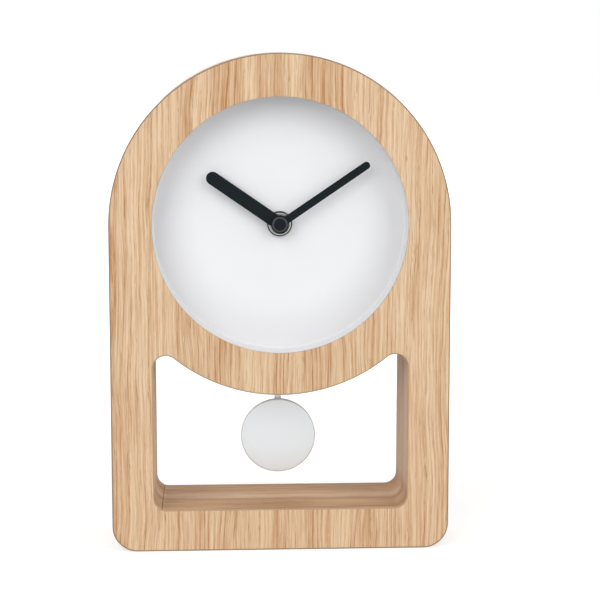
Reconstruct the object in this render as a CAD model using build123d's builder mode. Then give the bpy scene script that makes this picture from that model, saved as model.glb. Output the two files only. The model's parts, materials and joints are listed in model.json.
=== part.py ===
from build123d import *
import os
from math import acos, cos, hypot, pi, radians, sin, tan

# A free-standing arched clock: a veneered board case with a round dial above an open
# window, a battery movement behind the dial, and a pendulum that hangs in the window.
# Millimetres. X runs to the right, Y to the back and Z up, from the middle of the base.

# Case
CASE_WIDTH = 160.0
CASE_HEIGHT = 235.0
CASE_DEPTH = 50.0
FRAME_WIDTH = 20.0
BASE_CORNER = 12.0
WINDOW_CORNER = 6.0
EDGE_ROUNDING = 0.4
VENEER = 0.6
LINING_SEAM = 0.25
DIAL_BOARD = 4.0
CAVITY_ROOM = 5.6
SLOT_DEPTH = 10.0
SLOT_ROOM = 1.2

# Dial dish
DIAL_RECESS = 13.0
DIAL_RIM_DROP = 0.8
DIAL_WALL = 1.0
DIAL_FLOOR = 1.2
DIAL_ROUNDING = 3.0
DIAL_PLAY = 0.15

# Hands, set in minutes after twelve
TIME_SHOWN = 609.3
MINUTE_HAND_MARGIN = 9.2
MINUTE_HAND_WIDTH = 3.6
HOUR_HAND_MARGIN = 18.7
HOUR_HAND_WIDTH = 6.2
HAND_SHEET = 0.6
HAND_GAP = 0.7
HUB_DIAMETER = 8.6
CAP_DIAMETER = 7.3
CAP_CROWN_DIAMETER = 5.2
CAP_STEP = 0.5
CAP_ROUNDING = 0.2

# Threaded bush, nut and gasket that hold the movement to the dial
BUSH_DIAMETER = 8.0
BUSH_LEAD = 0.5
BUSH_FLANGE = 1.0
BUSH_HOLE_ROOM = 0.3
NUT_DIAMETER = 11.9
NUT_HEIGHT = 2.5
NUT_CHAMFER = 0.6
GASKET_DIAMETER = 24.0
GASKET = 0.8

# Movement housing
SHELL_WALL = 1.4
SHELL_FLOOR = 1.2
SHELL_LIP = 0.4
SHELL_CORNER = 3.0
TONGUE_WIDTH = 36.0
PARTITION = 0.8
MID_PLATE = 0.8
PLATE_PLAY = 0.2
COVER_PLAY = 0.05
POST_RADIUS = 2.4
POST_NECK = 1.6
BOSS_RADIUS = 1.6
BOSS_HEIGHT = 1.0
BEARING_DEPTH = 0.6
SCREW_RADIUS = 0.8
SCREW_LENGTH = 5.0
SCREW_HEAD_RADIUS = 1.5
SCREW_HEAD = 0.7
SCREW_SLOT = 0.35

# Fits: a turning fit, a pressed or seated fit, and room round wheels
RUNNING_FIT = 0.05
SEAT_FIT = 0.02
LEVEL_GAP = 0.5
WHEEL_ROOM = 1.4

# Wheels and arbors
WHEEL = 1.0
FINE_WHEEL = 0.8
PINION_OVERHANG = 0.1
TUBE_DIAMETER = 5.0
ARBOR_DIAMETER = 3.2
ARBOR_TAIL_DIAMETER = 1.8
PIVOT_DIAMETER = 1.0
ROTOR_PIVOT_DIAMETER = 0.8
STUD_DIAMETER = 1.4
HUB_RADIUS = 2.2
COLLAR_DIAMETER = 3.8
COLLAR_LENGTH = 0.9
PRESSURE_ANGLE = 20.0
ADDENDUM = 0.8
DEDENDUM = 1.2
TOOTH_PLAY = 0.05

# Motion work: tooth counts, pitch diameter and the angle from each axis to the next
CANNON_TEETH = 12
MINUTE_TEETH = 36
MINUTE_PINION_TEETH = 12
HOUR_TEETH = 48
SETTING_TEETH = 12
MINUTE_WHEEL_DIAMETER = 14.4
MINUTE_WHEEL_ANGLE = -20.0
SETTING_ANGLE = -27.5

# Going train, from the rotor to the centre wheel
TRAIN_PINION_TEETH = 10
INTERMEDIATE_TEETH = 50
SECONDS_TEETH = 60
THIRD_TEETH = 80
CENTRE_TEETH = 75
INTERMEDIATE_DIAMETER = 10.0
SECONDS_DIAMETER = 13.2
THIRD_DIAMETER = 16.0
CENTRE_DIAMETER = 18.75
THIRD_ANGLE = -160.0
SECONDS_ANGLE = -80.0
INTERMEDIATE_ANGLE = -10.0
ROTOR_ANGLE = -10.0

# Motor
ROTOR_DIAMETER = 4.4
ROTOR_LENGTH = 2.0
ROTOR_GAP = 0.5
STATOR_SHEET = 1.0
STATOR_POLE = 3.4
STATOR_LENGTH = 24.0
STATOR_HEIGHT = 10.5
STATOR_BAR = 3.0
STATOR_YOKE = 5.9
STATOR_SEAT_RADIUS = 1.0
BOBBIN_WALL = 0.6
BOBBIN_FLANGE = 0.8
WINDING = 1.0
COIL_END_ROOM = 0.3
COIL_ROOM = 2.6
STATOR_SIDE_ROOM = 0.9

# Electronics
BOARD = 1.0
BOARD_LIFT = 0.8
BOARD_HEIGHT = 12.0
BOARD_SIDE_ROOM = 6.0
BOARD_FOOT_ROOM = 1.1
BOARD_PEG = 1.5
CHIP_RADIUS = 3.0
CHIP_HEIGHT = 1.0
CRYSTAL_DIAMETER = 1.4
CRYSTAL_LENGTH = 6.0
DRIVER_BOARD_LIFT = 2.8
DRIVER_BOARD_HEIGHT = 13.0
DRIVER_SIDE_ROOM = 4.6

# Battery
BATTERY_DIAMETER = 14.5
BATTERY_LENGTH = 50.5
BATTERY_NUB_DIAMETER = 5.5
BATTERY_NUB = 1.2
BATTERY_PLAY = 0.15
BATTERY_ROUNDING = 0.6
BATTERY_END_ROOM = 1.35
CONTACT = 0.4
CONTACT_WIDTH = 6.0
CONTACT_LENGTH = 10.0
CONTACT_GAP = 0.1

# Setting knob
STEM_DIAMETER = 2.0
KNOB_DIAMETER = 10.0
KNOB_HEIGHT = 4.0
KNOB_GAP = 0.5
KNOB_FLUTES = 20
KNOB_FLUTE_RADIUS = 0.5
KNOB_GRIP = 2.5

# Pendulum
PIVOT_DROP = 4.0
PIN_DIAMETER = 2.0
PIN_HEAD_DIAMETER = 4.0
PIN_HEAD = 0.6
SWING_ANGLE = 10.0
HANGER_GAP = 0.4
HANGER_HUB_RADIUS = 3.0
HANGER_HUB_LENGTH = 4.8
HANGER_PLATE = 2.0
HANGER_PLATE_LIFT = 0.8
HANGER_WIDTH = 6.0
HANGER_RING = 2.0
DRIVE_COIL_DROP = 36.0
DRIVE_COIL_RADIUS = 7.0
DRIVE_COIL_LENGTH = 6.2
DRIVE_COIL_CORE = 2.5
MAGNET_DIAMETER = 8.0
MAGNET_LENGTH = 2.5
PEG_DROP = 46.0
PEG_DIAMETER = 2.0
PEG_HEAD_DIAMETER = 3.0
PEG_HEAD = 0.6
ROD_WIDTH = 3.4
ROD_SHEET = 1.2
ROD_EYE_RADIUS = 2.8
ROD_PLAY = 0.1
ROD_LAP = 12.0
BOB_DIAMETER = 36.6
BOB_RIM = 3.0
BOB_DOME = 0.8
BOB_ROUNDING = 0.8
BOB_FLOOR_GAP = 9.7

# Places that follow from the sizes above
half_width = CASE_WIDTH / 2
arch_z = CASE_HEIGHT - half_width
ring_low_z = arch_z - half_width
dial_radius = half_width - FRAME_WIDTH
window_half = half_width - FRAME_WIDTH
front_y = -CASE_DEPTH / 2
back_y = CASE_DEPTH / 2
dial_face_y = front_y + DIAL_RECESS
dial_back_y = dial_face_y + DIAL_FLOOR
board_back_y = dial_back_y + DIAL_BOARD
movement_y = board_back_y + GASKET
bush_radius = BUSH_DIAMETER / 2
bush_hole = bush_radius + BUSH_HOLE_ROOM
bush_end_y = dial_face_y - NUT_HEIGHT - BUSH_LEAD
hour_hand_y = bush_end_y - HAND_GAP
minute_hand_y = hour_hand_y - HAND_SHEET - HAND_GAP
cap_y = minute_hand_y - HAND_SHEET

# Levels in the movement, from its front face to its back
floor_y = movement_y + SHELL_FLOOR
hour_front = floor_y + LEVEL_GAP
hour_back = hour_front + WHEEL
minute_front = hour_back + LEVEL_GAP
minute_back = minute_front + WHEEL
plate_front = minute_back + LEVEL_GAP
plate_back = plate_front + MID_PLATE
centre_front = plate_back + LEVEL_GAP
centre_back = centre_front + WHEEL
third_front = centre_back + LEVEL_GAP
third_back = third_front + FINE_WHEEL
seconds_front = third_back + LEVEL_GAP
seconds_back = seconds_front + FINE_WHEEL
intermediate_front = seconds_back + LEVEL_GAP
intermediate_back = intermediate_front + FINE_WHEEL
rotor_front = intermediate_back + LEVEL_GAP
rotor_back = rotor_front + ROTOR_LENGTH
boss_front = rotor_back + LEVEL_GAP
cover_front = boss_front + BOSS_HEIGHT
cover_back = cover_front + SHELL_FLOOR


def way(axis, distance, degrees):
    """The axis that lies a distance from another one, both as x and z."""
    x, z = axis
    return x + distance * cos(radians(degrees)), z + distance * sin(radians(degrees))


def mesh_distance(module, teeth, other_teeth):
    """The distance between the axes of two wheels in mesh."""
    return module * (teeth + other_teeth) / 2


def mesh_phase(teeth, phase, toward, other_teeth):
    """The angle of a tooth on the other wheel, so that its teeth stand in the gaps."""
    pitches = (toward - phase) * teeth / 360
    return toward + 180 - (0.5 - pitches) * 360 / other_teeth


def tip_radius(teeth, module):
    """The radius over the tips of a wheel's teeth."""
    return module * (teeth / 2 + ADDENDUM)


# Modules and axes of the motion work and the going train
motion_module = MINUTE_WHEEL_DIAMETER / MINUTE_TEETH
intermediate_module = INTERMEDIATE_DIAMETER / INTERMEDIATE_TEETH
seconds_module = SECONDS_DIAMETER / SECONDS_TEETH
third_module = THIRD_DIAMETER / THIRD_TEETH
centre_module = CENTRE_DIAMETER / CENTRE_TEETH
shaft = (0.0, arch_z)
motion_distance = mesh_distance(motion_module, CANNON_TEETH, MINUTE_TEETH)
hour_module = 2 * motion_distance / (MINUTE_PINION_TEETH + HOUR_TEETH)
minute_axis = way(shaft, motion_distance, MINUTE_WHEEL_ANGLE)
setting_axis = way(
    minute_axis, mesh_distance(motion_module, MINUTE_TEETH, SETTING_TEETH), SETTING_ANGLE
)
third_axis = way(
    shaft, mesh_distance(centre_module, CENTRE_TEETH, TRAIN_PINION_TEETH), THIRD_ANGLE
)
seconds_axis = way(
    third_axis, mesh_distance(third_module, THIRD_TEETH, TRAIN_PINION_TEETH), SECONDS_ANGLE
)
intermediate_axis = way(
    seconds_axis,
    mesh_distance(seconds_module, SECONDS_TEETH, TRAIN_PINION_TEETH),
    INTERMEDIATE_ANGLE,
)
rotor_axis = way(
    intermediate_axis,
    mesh_distance(intermediate_module, INTERMEDIATE_TEETH, TRAIN_PINION_TEETH),
    ROTOR_ANGLE,
)
train_axes = [third_axis, seconds_axis, intermediate_axis]

# Stator and motor coil, set out from the rotor
stator_back = (rotor_front + rotor_back + STATOR_SHEET) / 2
stator_front = stator_back - STATOR_SHEET
stator_left = rotor_axis[0] - STATOR_POLE
stator_right = stator_left + STATOR_LENGTH
stator_top = rotor_axis[1] + STATOR_POLE
stator_low = stator_top - STATOR_HEIGHT
yoke_left = rotor_axis[0] + STATOR_YOKE
yoke_right = stator_right - STATOR_BAR
bar_mid_z = stator_low + STATOR_BAR / 2
bar_mid_y = (stator_front + stator_back) / 2
bobbin_reach_z = STATOR_BAR / 2 + SEAT_FIT + BOBBIN_WALL
bobbin_reach_y = STATOR_SHEET / 2 + SEAT_FIT + BOBBIN_WALL
coil_left = yoke_left + COIL_END_ROOM
coil_right = yoke_right - COIL_END_ROOM
coil_low_z = bar_mid_z - bobbin_reach_z - WINDING

# Inside and outside of the movement housing
inner_half = max(
    BATTERY_LENGTH / 2 + BATTERY_END_ROOM, stator_right + STATOR_SIDE_ROOM
)
inner_low_z = coil_low_z - COIL_ROOM
partition_low_z = arch_z + tip_radius(CENTRE_TEETH, centre_module) + WHEEL_ROOM
partition_top_z = partition_low_z + PARTITION
bay_top_z = partition_top_z + BATTERY_DIAMETER + 2 * BATTERY_PLAY
battery_z = (partition_top_z + bay_top_z) / 2
battery_y = floor_y + BATTERY_PLAY + BATTERY_DIAMETER / 2
drive_coil = (0.0, arch_z - DRIVE_COIL_DROP)
tongue_inner_low_z = drive_coil[1] - DRIVE_COIL_RADIUS - WHEEL_ROOM
post_half = inner_half - POST_RADIUS
posts = [
    (side * post_half, z)
    for side in (-1, 1)
    for z in (inner_low_z + POST_RADIUS, partition_low_z - POST_RADIUS)
]

# Pendulum places
pivot = (0.0, arch_z - PIVOT_DROP)
peg = (0.0, arch_z - PEG_DROP)
hanger_front = cover_back + HANGER_GAP
hanger_plate_front = hanger_front + HANGER_PLATE_LIFT
hanger_plate_back = hanger_plate_front + HANGER_PLATE
rod_front = hanger_plate_back + ROD_PLAY
rod_back = rod_front + ROD_SHEET
bob_z = FRAME_WIDTH + BOB_FLOOR_GAP + BOB_DIAMETER / 2
swing_room = tan(radians(SWING_ANGLE)) * (pivot[1] - ring_low_z)
slot_half = swing_room + ROD_WIDTH / 2 + SLOT_ROOM
slot_back = (rod_front + rod_back + SLOT_DEPTH) / 2

# Round room for the movement behind the dial
movement_reach = max(
    hypot(TONGUE_WIDTH / 2, arch_z - tongue_inner_low_z + SHELL_WALL),
    hypot(inner_half + SHELL_WALL, bay_top_z + SHELL_WALL - arch_z),
)
cavity_radius = movement_reach + CAVITY_ROOM


def facing(y, axis=(0.0, 0.0)):
    """The upright plane at a depth, seen from the front, with its origin on an axis."""
    x, z = axis
    return Plane(origin=(x, y, z), x_dir=(1, 0, 0), z_dir=(0, -1, 0))


def case_face(inset):
    """The outline of the case, drawn in by an inset."""
    half = half_width - inset
    with BuildSketch() as face:
        with Locations((0, inset)):
            Rectangle(2 * half, arch_z - inset, align=(Align.CENTER, Align.MIN))
        with Locations((0, arch_z)):
            Circle(half)
        fillet(face.vertices().group_by(Axis.Y)[0], BASE_CORNER - inset)
    return face.sketch_local


def window_face(grow):
    """The pendulum window under the ring, opened out by a margin."""
    low = FRAME_WIDTH - grow
    with BuildSketch() as face:
        with Locations((0, low)):
            Rectangle(2 * (window_half + grow), arch_z - low, align=(Align.CENTER, Align.MIN))
        with Locations((0, arch_z)):
            Circle(half_width - grow, mode=Mode.SUBTRACT)
        fillet(face.vertices(), WINDOW_CORNER + grow)
    return face.sketch_local


def housing_face(inset):
    """The outline of the movement: a square body with a tongue below it."""
    half = inner_half + SHELL_WALL - inset
    low = inner_low_z - SHELL_WALL + inset
    top = bay_top_z + SHELL_WALL - inset
    tongue_low = tongue_inner_low_z - SHELL_WALL + inset
    with BuildSketch() as face:
        with Locations((0, low)):
            Rectangle(2 * half, top - low, align=(Align.CENTER, Align.MIN))
        with Locations((0, tongue_low)):
            Rectangle(TONGUE_WIDTH - 2 * inset, top - tongue_low, align=(Align.CENTER, Align.MIN))
        fillet(face.vertices(), SHELL_CORNER - inset)
    return face.sketch_local


def below_face(z):
    """Everything in the movement below a height."""
    reach = inner_half + SHELL_WALL
    low = tongue_inner_low_z - SHELL_WALL
    with BuildSketch() as face:
        with Locations((0, low)):
            Rectangle(2 * reach, z - low, align=(Align.CENTER, Align.MIN))
    return face.sketch_local


def case_layer(front, back, faces_cut):
    """A layer of the case between two depths, with faces cut out of it."""
    with BuildSketch(facing(back)) as layer:
        add(case_face(VENEER))
        for face in faces_cut:
            add(face, mode=Mode.SUBTRACT)
    extrude(layer.sketch, amount=back - front)


def round_face(radius):
    """A disc about the dial's middle."""
    with BuildSketch() as face:
        with Locations((0, arch_z)):
            Circle(radius)
    return face.sketch_local


def turned(axis, front, back, radius, mode=Mode.ADD):
    """A round length about an axis that runs from front to back."""
    with BuildSketch(facing(back, axis)) as disc:
        Circle(radius)
    extrude(disc.sketch, amount=back - front, mode=mode)


def toothed(axis, front, back, teeth, module, phase):
    """A toothed wheel between two depths, with a tooth at the phase angle."""
    pitch_radius = module * teeth / 2
    base_radius = pitch_radius * cos(radians(PRESSURE_ANGLE))
    half_tooth = (pi * module / 2 - TOOTH_PLAY) / 2 / pitch_radius

    def half_angle(radius):
        # the flank is an involute above the base circle and radial below it
        lean = acos(base_radius / max(radius, base_radius))
        start = radians(PRESSURE_ANGLE)
        return half_tooth + tan(start) - start - tan(lean) + lean

    radii = [pitch_radius - DEDENDUM * module, pitch_radius, pitch_radius + ADDENDUM * module]
    corners = []
    for tooth in range(teeth):
        middle = radians(phase + 360 * tooth / teeth)
        rising = [(r, middle - half_angle(r)) for r in radii]
        falling = [(r, middle + half_angle(r)) for r in reversed(radii)]
        corners += [(r * cos(a), r * sin(a)) for r, a in rising + falling]
    with BuildSketch(facing(back, axis)) as outline:
        with BuildLine():
            Polyline(*corners, close=True)
        make_face()
    extrude(outline.sketch, amount=back - front)


def wheel_with_pinion(axis, wheel, pinion, pivot_radius):
    """A wheel and its pinion on one arbor, pivoted in the mid plate and the rear cover."""
    turned(axis, plate_front + PINION_OVERHANG, cover_front + BEARING_DEPTH / 2, pivot_radius)
    toothed(axis, *wheel)
    toothed(axis, *pinion)


def box(x, y, z, mode=Mode.ADD):
    """A block between two corners, each side given as a low and a high value."""
    with BuildSketch(Plane.XY.offset(z[0])) as plan:
        with Locations(((x[0] + x[1]) / 2, (y[0] + y[1]) / 2)):
            Rectangle(x[1] - x[0], y[1] - y[0])
    extrude(plan.sketch, amount=z[1] - z[0], mode=mode)


def case_block():
    """The whole case as one block with its front and back edges eased."""
    with BuildSketch(facing(back_y)) as outline:
        add(case_face(0))
    extrude(outline.sketch, amount=CASE_DEPTH)
    rims = faces().sort_by(Axis.Y)[0].edges() + faces().sort_by(Axis.Y)[-1].edges()
    fillet(rims, EDGE_ROUNDING)


def pendulum_slot():
    """The way through the ring for the pendulum rod, cut from the window to the movement."""
    box(
        (-slot_half, slot_half),
        (slot_back - SLOT_DEPTH, slot_back),
        (ring_low_z - VENEER, arch_z),
        Mode.SUBTRACT,
    )


# Case layers, front to back
window_bare = window_face(VENEER)
base_flat = half_width - BASE_CORNER

with BuildPart() as front_veneer:
    case_layer(front_y, front_y + VENEER, [window_bare, round_face(dial_radius)])

with BuildPart() as front_layer:
    case_layer(front_y + VENEER, dial_back_y, [window_bare, round_face(dial_radius)])

with BuildPart() as dial_board:
    case_layer(dial_back_y, board_back_y, [window_bare, round_face(bush_hole)])

with BuildPart() as rear_layer:
    case_layer(board_back_y, back_y - VENEER, [window_bare, round_face(cavity_radius)])
    pendulum_slot()

with BuildPart() as back_veneer:
    case_layer(back_y - VENEER, back_y, [window_bare, round_face(cavity_radius)])

with BuildPart() as edge_veneer:
    case_block()
    with BuildSketch(facing(back_y)):
        add(case_face(VENEER))
    extrude(amount=CASE_DEPTH, mode=Mode.SUBTRACT)
    box((-base_flat, base_flat), (front_y, back_y), (0, VENEER), Mode.SUBTRACT)

with BuildPart() as base_veneer:
    case_block()
    box((-base_flat, base_flat), (front_y, back_y), (0, VENEER), Mode.INTERSECT)

with BuildPart() as window_lining:
    with BuildSketch(facing(back_y)):
        add(window_bare)
        add(window_face(0), mode=Mode.SUBTRACT)
    extrude(amount=CASE_DEPTH)
    end_faces = [faces().sort_by(Axis.Y)[0], faces().sort_by(Axis.Y)[-1]]
    fillet([edge for face in end_faces for edge in face.inner_wires()[0].edges()], EDGE_ROUNDING)
    pendulum_slot()
    seam_x = WINDOW_CORNER - window_half
    box(
        (seam_x - LINING_SEAM / 2, seam_x + LINING_SEAM / 2),
        (front_y, back_y),
        (FRAME_WIDTH - VENEER, FRAME_WIDTH + WINDOW_CORNER),
        Mode.SUBTRACT,
    )

# Dial dish
dish_radius = dial_radius - DIAL_PLAY
dish_inside = dish_radius - DIAL_WALL
dish_rim_y = front_y + DIAL_RIM_DROP
with BuildPart() as dial_dish:
    with BuildSketch(Plane.XY.offset(arch_z)) as section:
        with BuildLine():
            Polyline(
                (bush_hole, dial_back_y),
                (dish_radius, dial_back_y),
                (dish_radius, dish_rim_y),
                (dish_inside, dish_rim_y),
                (dish_inside, dial_face_y),
                (bush_hole, dial_face_y),
                close=True,
            )
        make_face()
        fillet(section.vertices().sort_by_distance((dish_inside, dial_face_y))[0], DIAL_ROUNDING)
    revolve(axis=Axis((0, 0, arch_z), (0, 1, 0)))

# Bush, nut and gasket
flange_radius = bush_radius + BUSH_FLANGE
tube_radius = TUBE_DIAMETER / 2
arbor_radius = ARBOR_DIAMETER / 2
with BuildPart() as threaded_bush:
    turned(shaft, bush_end_y, floor_y, bush_radius)
    turned(shaft, movement_y + SHELL_LIP, floor_y, flange_radius)
    turned(shaft, bush_end_y, floor_y, tube_radius + RUNNING_FIT, Mode.SUBTRACT)

with BuildPart() as mounting_nut:
    turned(shaft, dial_face_y - NUT_HEIGHT, dial_face_y, NUT_DIAMETER / 2)
    chamfer(faces().sort_by(Axis.Y)[0].edges(), NUT_CHAMFER)
    turned(shaft, dial_face_y - NUT_HEIGHT, dial_face_y, bush_radius + SEAT_FIT, Mode.SUBTRACT)

with BuildPart() as gasket:
    turned(shaft, board_back_y, movement_y, GASKET_DIAMETER / 2)
    turned(shaft, board_back_y, movement_y, bush_hole, Mode.SUBTRACT)

# Movement housing
stem_radius = STEM_DIAMETER / 2
board_low_z = inner_low_z + BOARD_FOOT_ROOM
board_top_z = board_low_z + BOARD_HEIGHT
board_half = inner_half - BOARD_SIDE_ROOM
board_front = floor_y + BOARD_LIFT
board_mid_z = (board_low_z + board_top_z) / 2
driver_front = floor_y + DRIVER_BOARD_LIFT
driver_half = TONGUE_WIDTH / 2 - SHELL_WALL - DRIVER_SIDE_ROOM
driver_low_z = drive_coil[1] - DRIVER_BOARD_HEIGHT / 2
screw_head_y = cover_back - SCREW_HEAD
with BuildPart() as movement_shell:
    with BuildSketch(facing(cover_back)):
        add(housing_face(0))
    extrude(amount=cover_back - movement_y)
    with BuildSketch(facing(cover_back)):
        add(housing_face(SHELL_WALL))
        with Locations((0, (partition_low_z + partition_top_z) / 2)):
            Rectangle(2 * inner_half, PARTITION, mode=Mode.SUBTRACT)
    extrude(amount=cover_back - floor_y, mode=Mode.SUBTRACT)
    with BuildSketch(facing(cover_back)):
        add(below_face(partition_low_z))
    extrude(amount=cover_back - cover_front, mode=Mode.SUBTRACT)
    for post in posts:
        turned(post, floor_y, plate_front, POST_RADIUS)
        turned(post, plate_front, cover_front, POST_NECK)
        turned(post, screw_head_y - SCREW_LENGTH, cover_front, SCREW_RADIUS + SEAT_FIT, Mode.SUBTRACT)
    for side in (-1, 1):
        turned((side * board_half / 2, board_mid_z), floor_y, board_front, BOARD_PEG)
        turned((side * driver_half / 2, drive_coil[1]), floor_y, driver_front, BOARD_PEG)
    turned(setting_axis, floor_y, floor_y + BOSS_HEIGHT, stem_radius + BOSS_HEIGHT)
    turned(setting_axis, floor_y, floor_y + BOSS_HEIGHT, stem_radius + RUNNING_FIT, Mode.SUBTRACT)
    turned(shaft, movement_y, floor_y, bush_radius + SEAT_FIT, Mode.SUBTRACT)
    turned(shaft, movement_y + SHELL_LIP, floor_y, flange_radius + SEAT_FIT, Mode.SUBTRACT)

pivot_hole = PIVOT_DIAMETER / 2 + RUNNING_FIT
rotor_hole = ROTOR_PIVOT_DIAMETER / 2 + RUNNING_FIT
tail_radius = ARBOR_TAIL_DIAMETER / 2
plate_half = inner_half - PLATE_PLAY
with BuildPart() as mid_plate:
    box(
        (-plate_half, plate_half),
        (plate_front, plate_back),
        (inner_low_z + PLATE_PLAY, partition_low_z - PLATE_PLAY),
    )
    fillet(edges().filter_by(Axis.Y), SHELL_CORNER - SHELL_WALL)
    for post in posts:
        turned(post, plate_front, plate_back, POST_NECK + SEAT_FIT, Mode.SUBTRACT)
    for axis in train_axes:
        turned(axis, plate_front, plate_back, pivot_hole, Mode.SUBTRACT)
    turned(rotor_axis, plate_front, plate_back, rotor_hole, Mode.SUBTRACT)
    turned(shaft, plate_front, plate_back, tail_radius + RUNNING_FIT, Mode.SUBTRACT)
    turned(setting_axis, plate_front, plate_back, stem_radius + RUNNING_FIT, Mode.SUBTRACT)
    turned(minute_axis, hour_front, plate_front, STUD_DIAMETER / 2)

pin_radius = PIN_DIAMETER / 2
stator_seats = [
    (stator_right - STATOR_BAR / 2, (stator_top + stator_low) / 2),
    (yoke_left - STATOR_BAR, stator_low + STATOR_BAR / 2),
]
bearings = [(axis, pivot_hole) for axis in train_axes + [shaft]] + [(rotor_axis, rotor_hole)]
with BuildPart() as rear_cover:
    with BuildSketch(facing(cover_back)):
        add(housing_face(0))
        add(below_face(partition_low_z - COVER_PLAY), mode=Mode.INTERSECT)
    extrude(amount=cover_back - cover_front)
    for axis, hole in bearings:
        turned(axis, boss_front, cover_front, BOSS_RADIUS)
        turned(axis, boss_front, cover_front + BEARING_DEPTH, hole, Mode.SUBTRACT)
    for seat in stator_seats:
        turned(seat, stator_back, cover_front, STATOR_SEAT_RADIUS)
    turned(pivot, boss_front, cover_front, pin_radius + BOSS_HEIGHT)
    turned(pivot, boss_front, cover_back, pin_radius + SEAT_FIT, Mode.SUBTRACT)
    turned(setting_axis, cover_front, cover_back, stem_radius + RUNNING_FIT, Mode.SUBTRACT)
    for post in posts:
        turned(post, cover_front, cover_back, SCREW_RADIUS + SEAT_FIT, Mode.SUBTRACT)
        turned(post, screw_head_y, cover_back, SCREW_HEAD_RADIUS + SEAT_FIT, Mode.SUBTRACT)

with BuildPart() as cover_screws:
    for post in posts:
        turned(post, screw_head_y - SCREW_LENGTH, screw_head_y, SCREW_RADIUS)
        turned(post, screw_head_y, cover_back, SCREW_HEAD_RADIUS)
        x, z = post
        for across, down in ((SCREW_HEAD_RADIUS, SCREW_SLOT / 2), (SCREW_SLOT / 2, SCREW_HEAD_RADIUS)):
            box(
                (x - across, x + across),
                (cover_back - SCREW_SLOT, cover_back),
                (z - down, z + down),
                Mode.SUBTRACT,
            )

# Motion work, with each wheel's teeth standing in its neighbour's gaps
minute_phase = mesh_phase(CANNON_TEETH, 0, MINUTE_WHEEL_ANGLE, MINUTE_TEETH)
hour_phase = mesh_phase(MINUTE_PINION_TEETH, 0, MINUTE_WHEEL_ANGLE + 180, HOUR_TEETH)
setting_phase = mesh_phase(MINUTE_TEETH, minute_phase, SETTING_ANGLE, SETTING_TEETH)
pinion_front = minute_front - PINION_OVERHANG
pinion_back = minute_back + PINION_OVERHANG
with BuildPart() as minute_arbor:
    turned(shaft, cap_y, pinion_back, arbor_radius)
    turned(shaft, pinion_back, cover_front - BOSS_HEIGHT, tail_radius)
    turned(shaft, boss_front, cover_front + BEARING_DEPTH / 2, PIVOT_DIAMETER / 2)
    toothed(shaft, pinion_front, pinion_back, CANNON_TEETH, motion_module, 0)

with BuildPart() as hour_wheel:
    toothed(shaft, hour_front, hour_back, HOUR_TEETH, hour_module, hour_phase)
    turned(shaft, hour_hand_y - HAND_SHEET, hour_back, tube_radius)
    turned(shaft, hour_hand_y - HAND_SHEET, hour_back, arbor_radius + RUNNING_FIT, Mode.SUBTRACT)

stud_hole = STUD_DIAMETER / 2 + RUNNING_FIT
with BuildPart() as minute_wheel:
    toothed(minute_axis, minute_front, minute_back, MINUTE_TEETH, motion_module, minute_phase)
    toothed(
        minute_axis,
        hour_front - PINION_OVERHANG,
        minute_front,
        MINUTE_PINION_TEETH,
        hour_module,
        0,
    )
    turned(minute_axis, hour_front - PINION_OVERHANG, minute_back, stud_hole, Mode.SUBTRACT)

knob_front = cover_back + KNOB_GAP
with BuildPart() as setting_pinion:
    turned(setting_axis, floor_y + SEAT_FIT, knob_front + KNOB_GRIP, stem_radius)
    toothed(
        setting_axis, pinion_front, pinion_back, SETTING_TEETH, motion_module, setting_phase
    )

with BuildPart() as setting_knob:
    with BuildSketch(facing(knob_front + KNOB_HEIGHT, setting_axis)):
        Circle(KNOB_DIAMETER / 2)
        with PolarLocations(KNOB_DIAMETER / 2, KNOB_FLUTES):
            Circle(KNOB_FLUTE_RADIUS, mode=Mode.SUBTRACT)
    extrude(amount=KNOB_HEIGHT)
    turned(
        setting_axis, knob_front, knob_front + KNOB_GRIP, stem_radius + SEAT_FIT, Mode.SUBTRACT
    )

# Going train
centre_phase = mesh_phase(TRAIN_PINION_TEETH, 0, THIRD_ANGLE + 180, CENTRE_TEETH)
third_phase = mesh_phase(TRAIN_PINION_TEETH, 0, SECONDS_ANGLE + 180, THIRD_TEETH)
seconds_phase = mesh_phase(TRAIN_PINION_TEETH, 0, INTERMEDIATE_ANGLE + 180, SECONDS_TEETH)
intermediate_phase = mesh_phase(TRAIN_PINION_TEETH, 0, ROTOR_ANGLE + 180, INTERMEDIATE_TEETH)


def pinion_on(front, back, module):
    """A train pinion that reaches a little past the wheel it drives."""
    return (front - PINION_OVERHANG, back + PINION_OVERHANG, TRAIN_PINION_TEETH, module, 0)


with BuildPart() as centre_wheel:
    toothed(shaft, centre_front, centre_back, CENTRE_TEETH, centre_module, centre_phase)
    turned(shaft, plate_back + PINION_OVERHANG, centre_front, HUB_RADIUS)
    turned(
        shaft,
        plate_back + PINION_OVERHANG,
        centre_back,
        tail_radius + RUNNING_FIT,
        Mode.SUBTRACT,
    )

with BuildPart() as friction_collar:
    turned(
        shaft,
        centre_back + PINION_OVERHANG,
        centre_back + PINION_OVERHANG + COLLAR_LENGTH,
        COLLAR_DIAMETER / 2,
    )
    turned(
        shaft,
        centre_back + PINION_OVERHANG,
        centre_back + PINION_OVERHANG + COLLAR_LENGTH,
        tail_radius + SEAT_FIT,
        Mode.SUBTRACT,
    )

with BuildPart() as third_wheel:
    wheel_with_pinion(
        third_axis,
        (third_front, third_back, THIRD_TEETH, third_module, third_phase),
        pinion_on(centre_front, centre_back, centre_module),
        PIVOT_DIAMETER / 2,
    )

with BuildPart() as seconds_wheel:
    wheel_with_pinion(
        seconds_axis,
        (seconds_front, seconds_back, SECONDS_TEETH, seconds_module, seconds_phase),
        pinion_on(third_front, third_back, third_module),
        PIVOT_DIAMETER / 2,
    )

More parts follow.
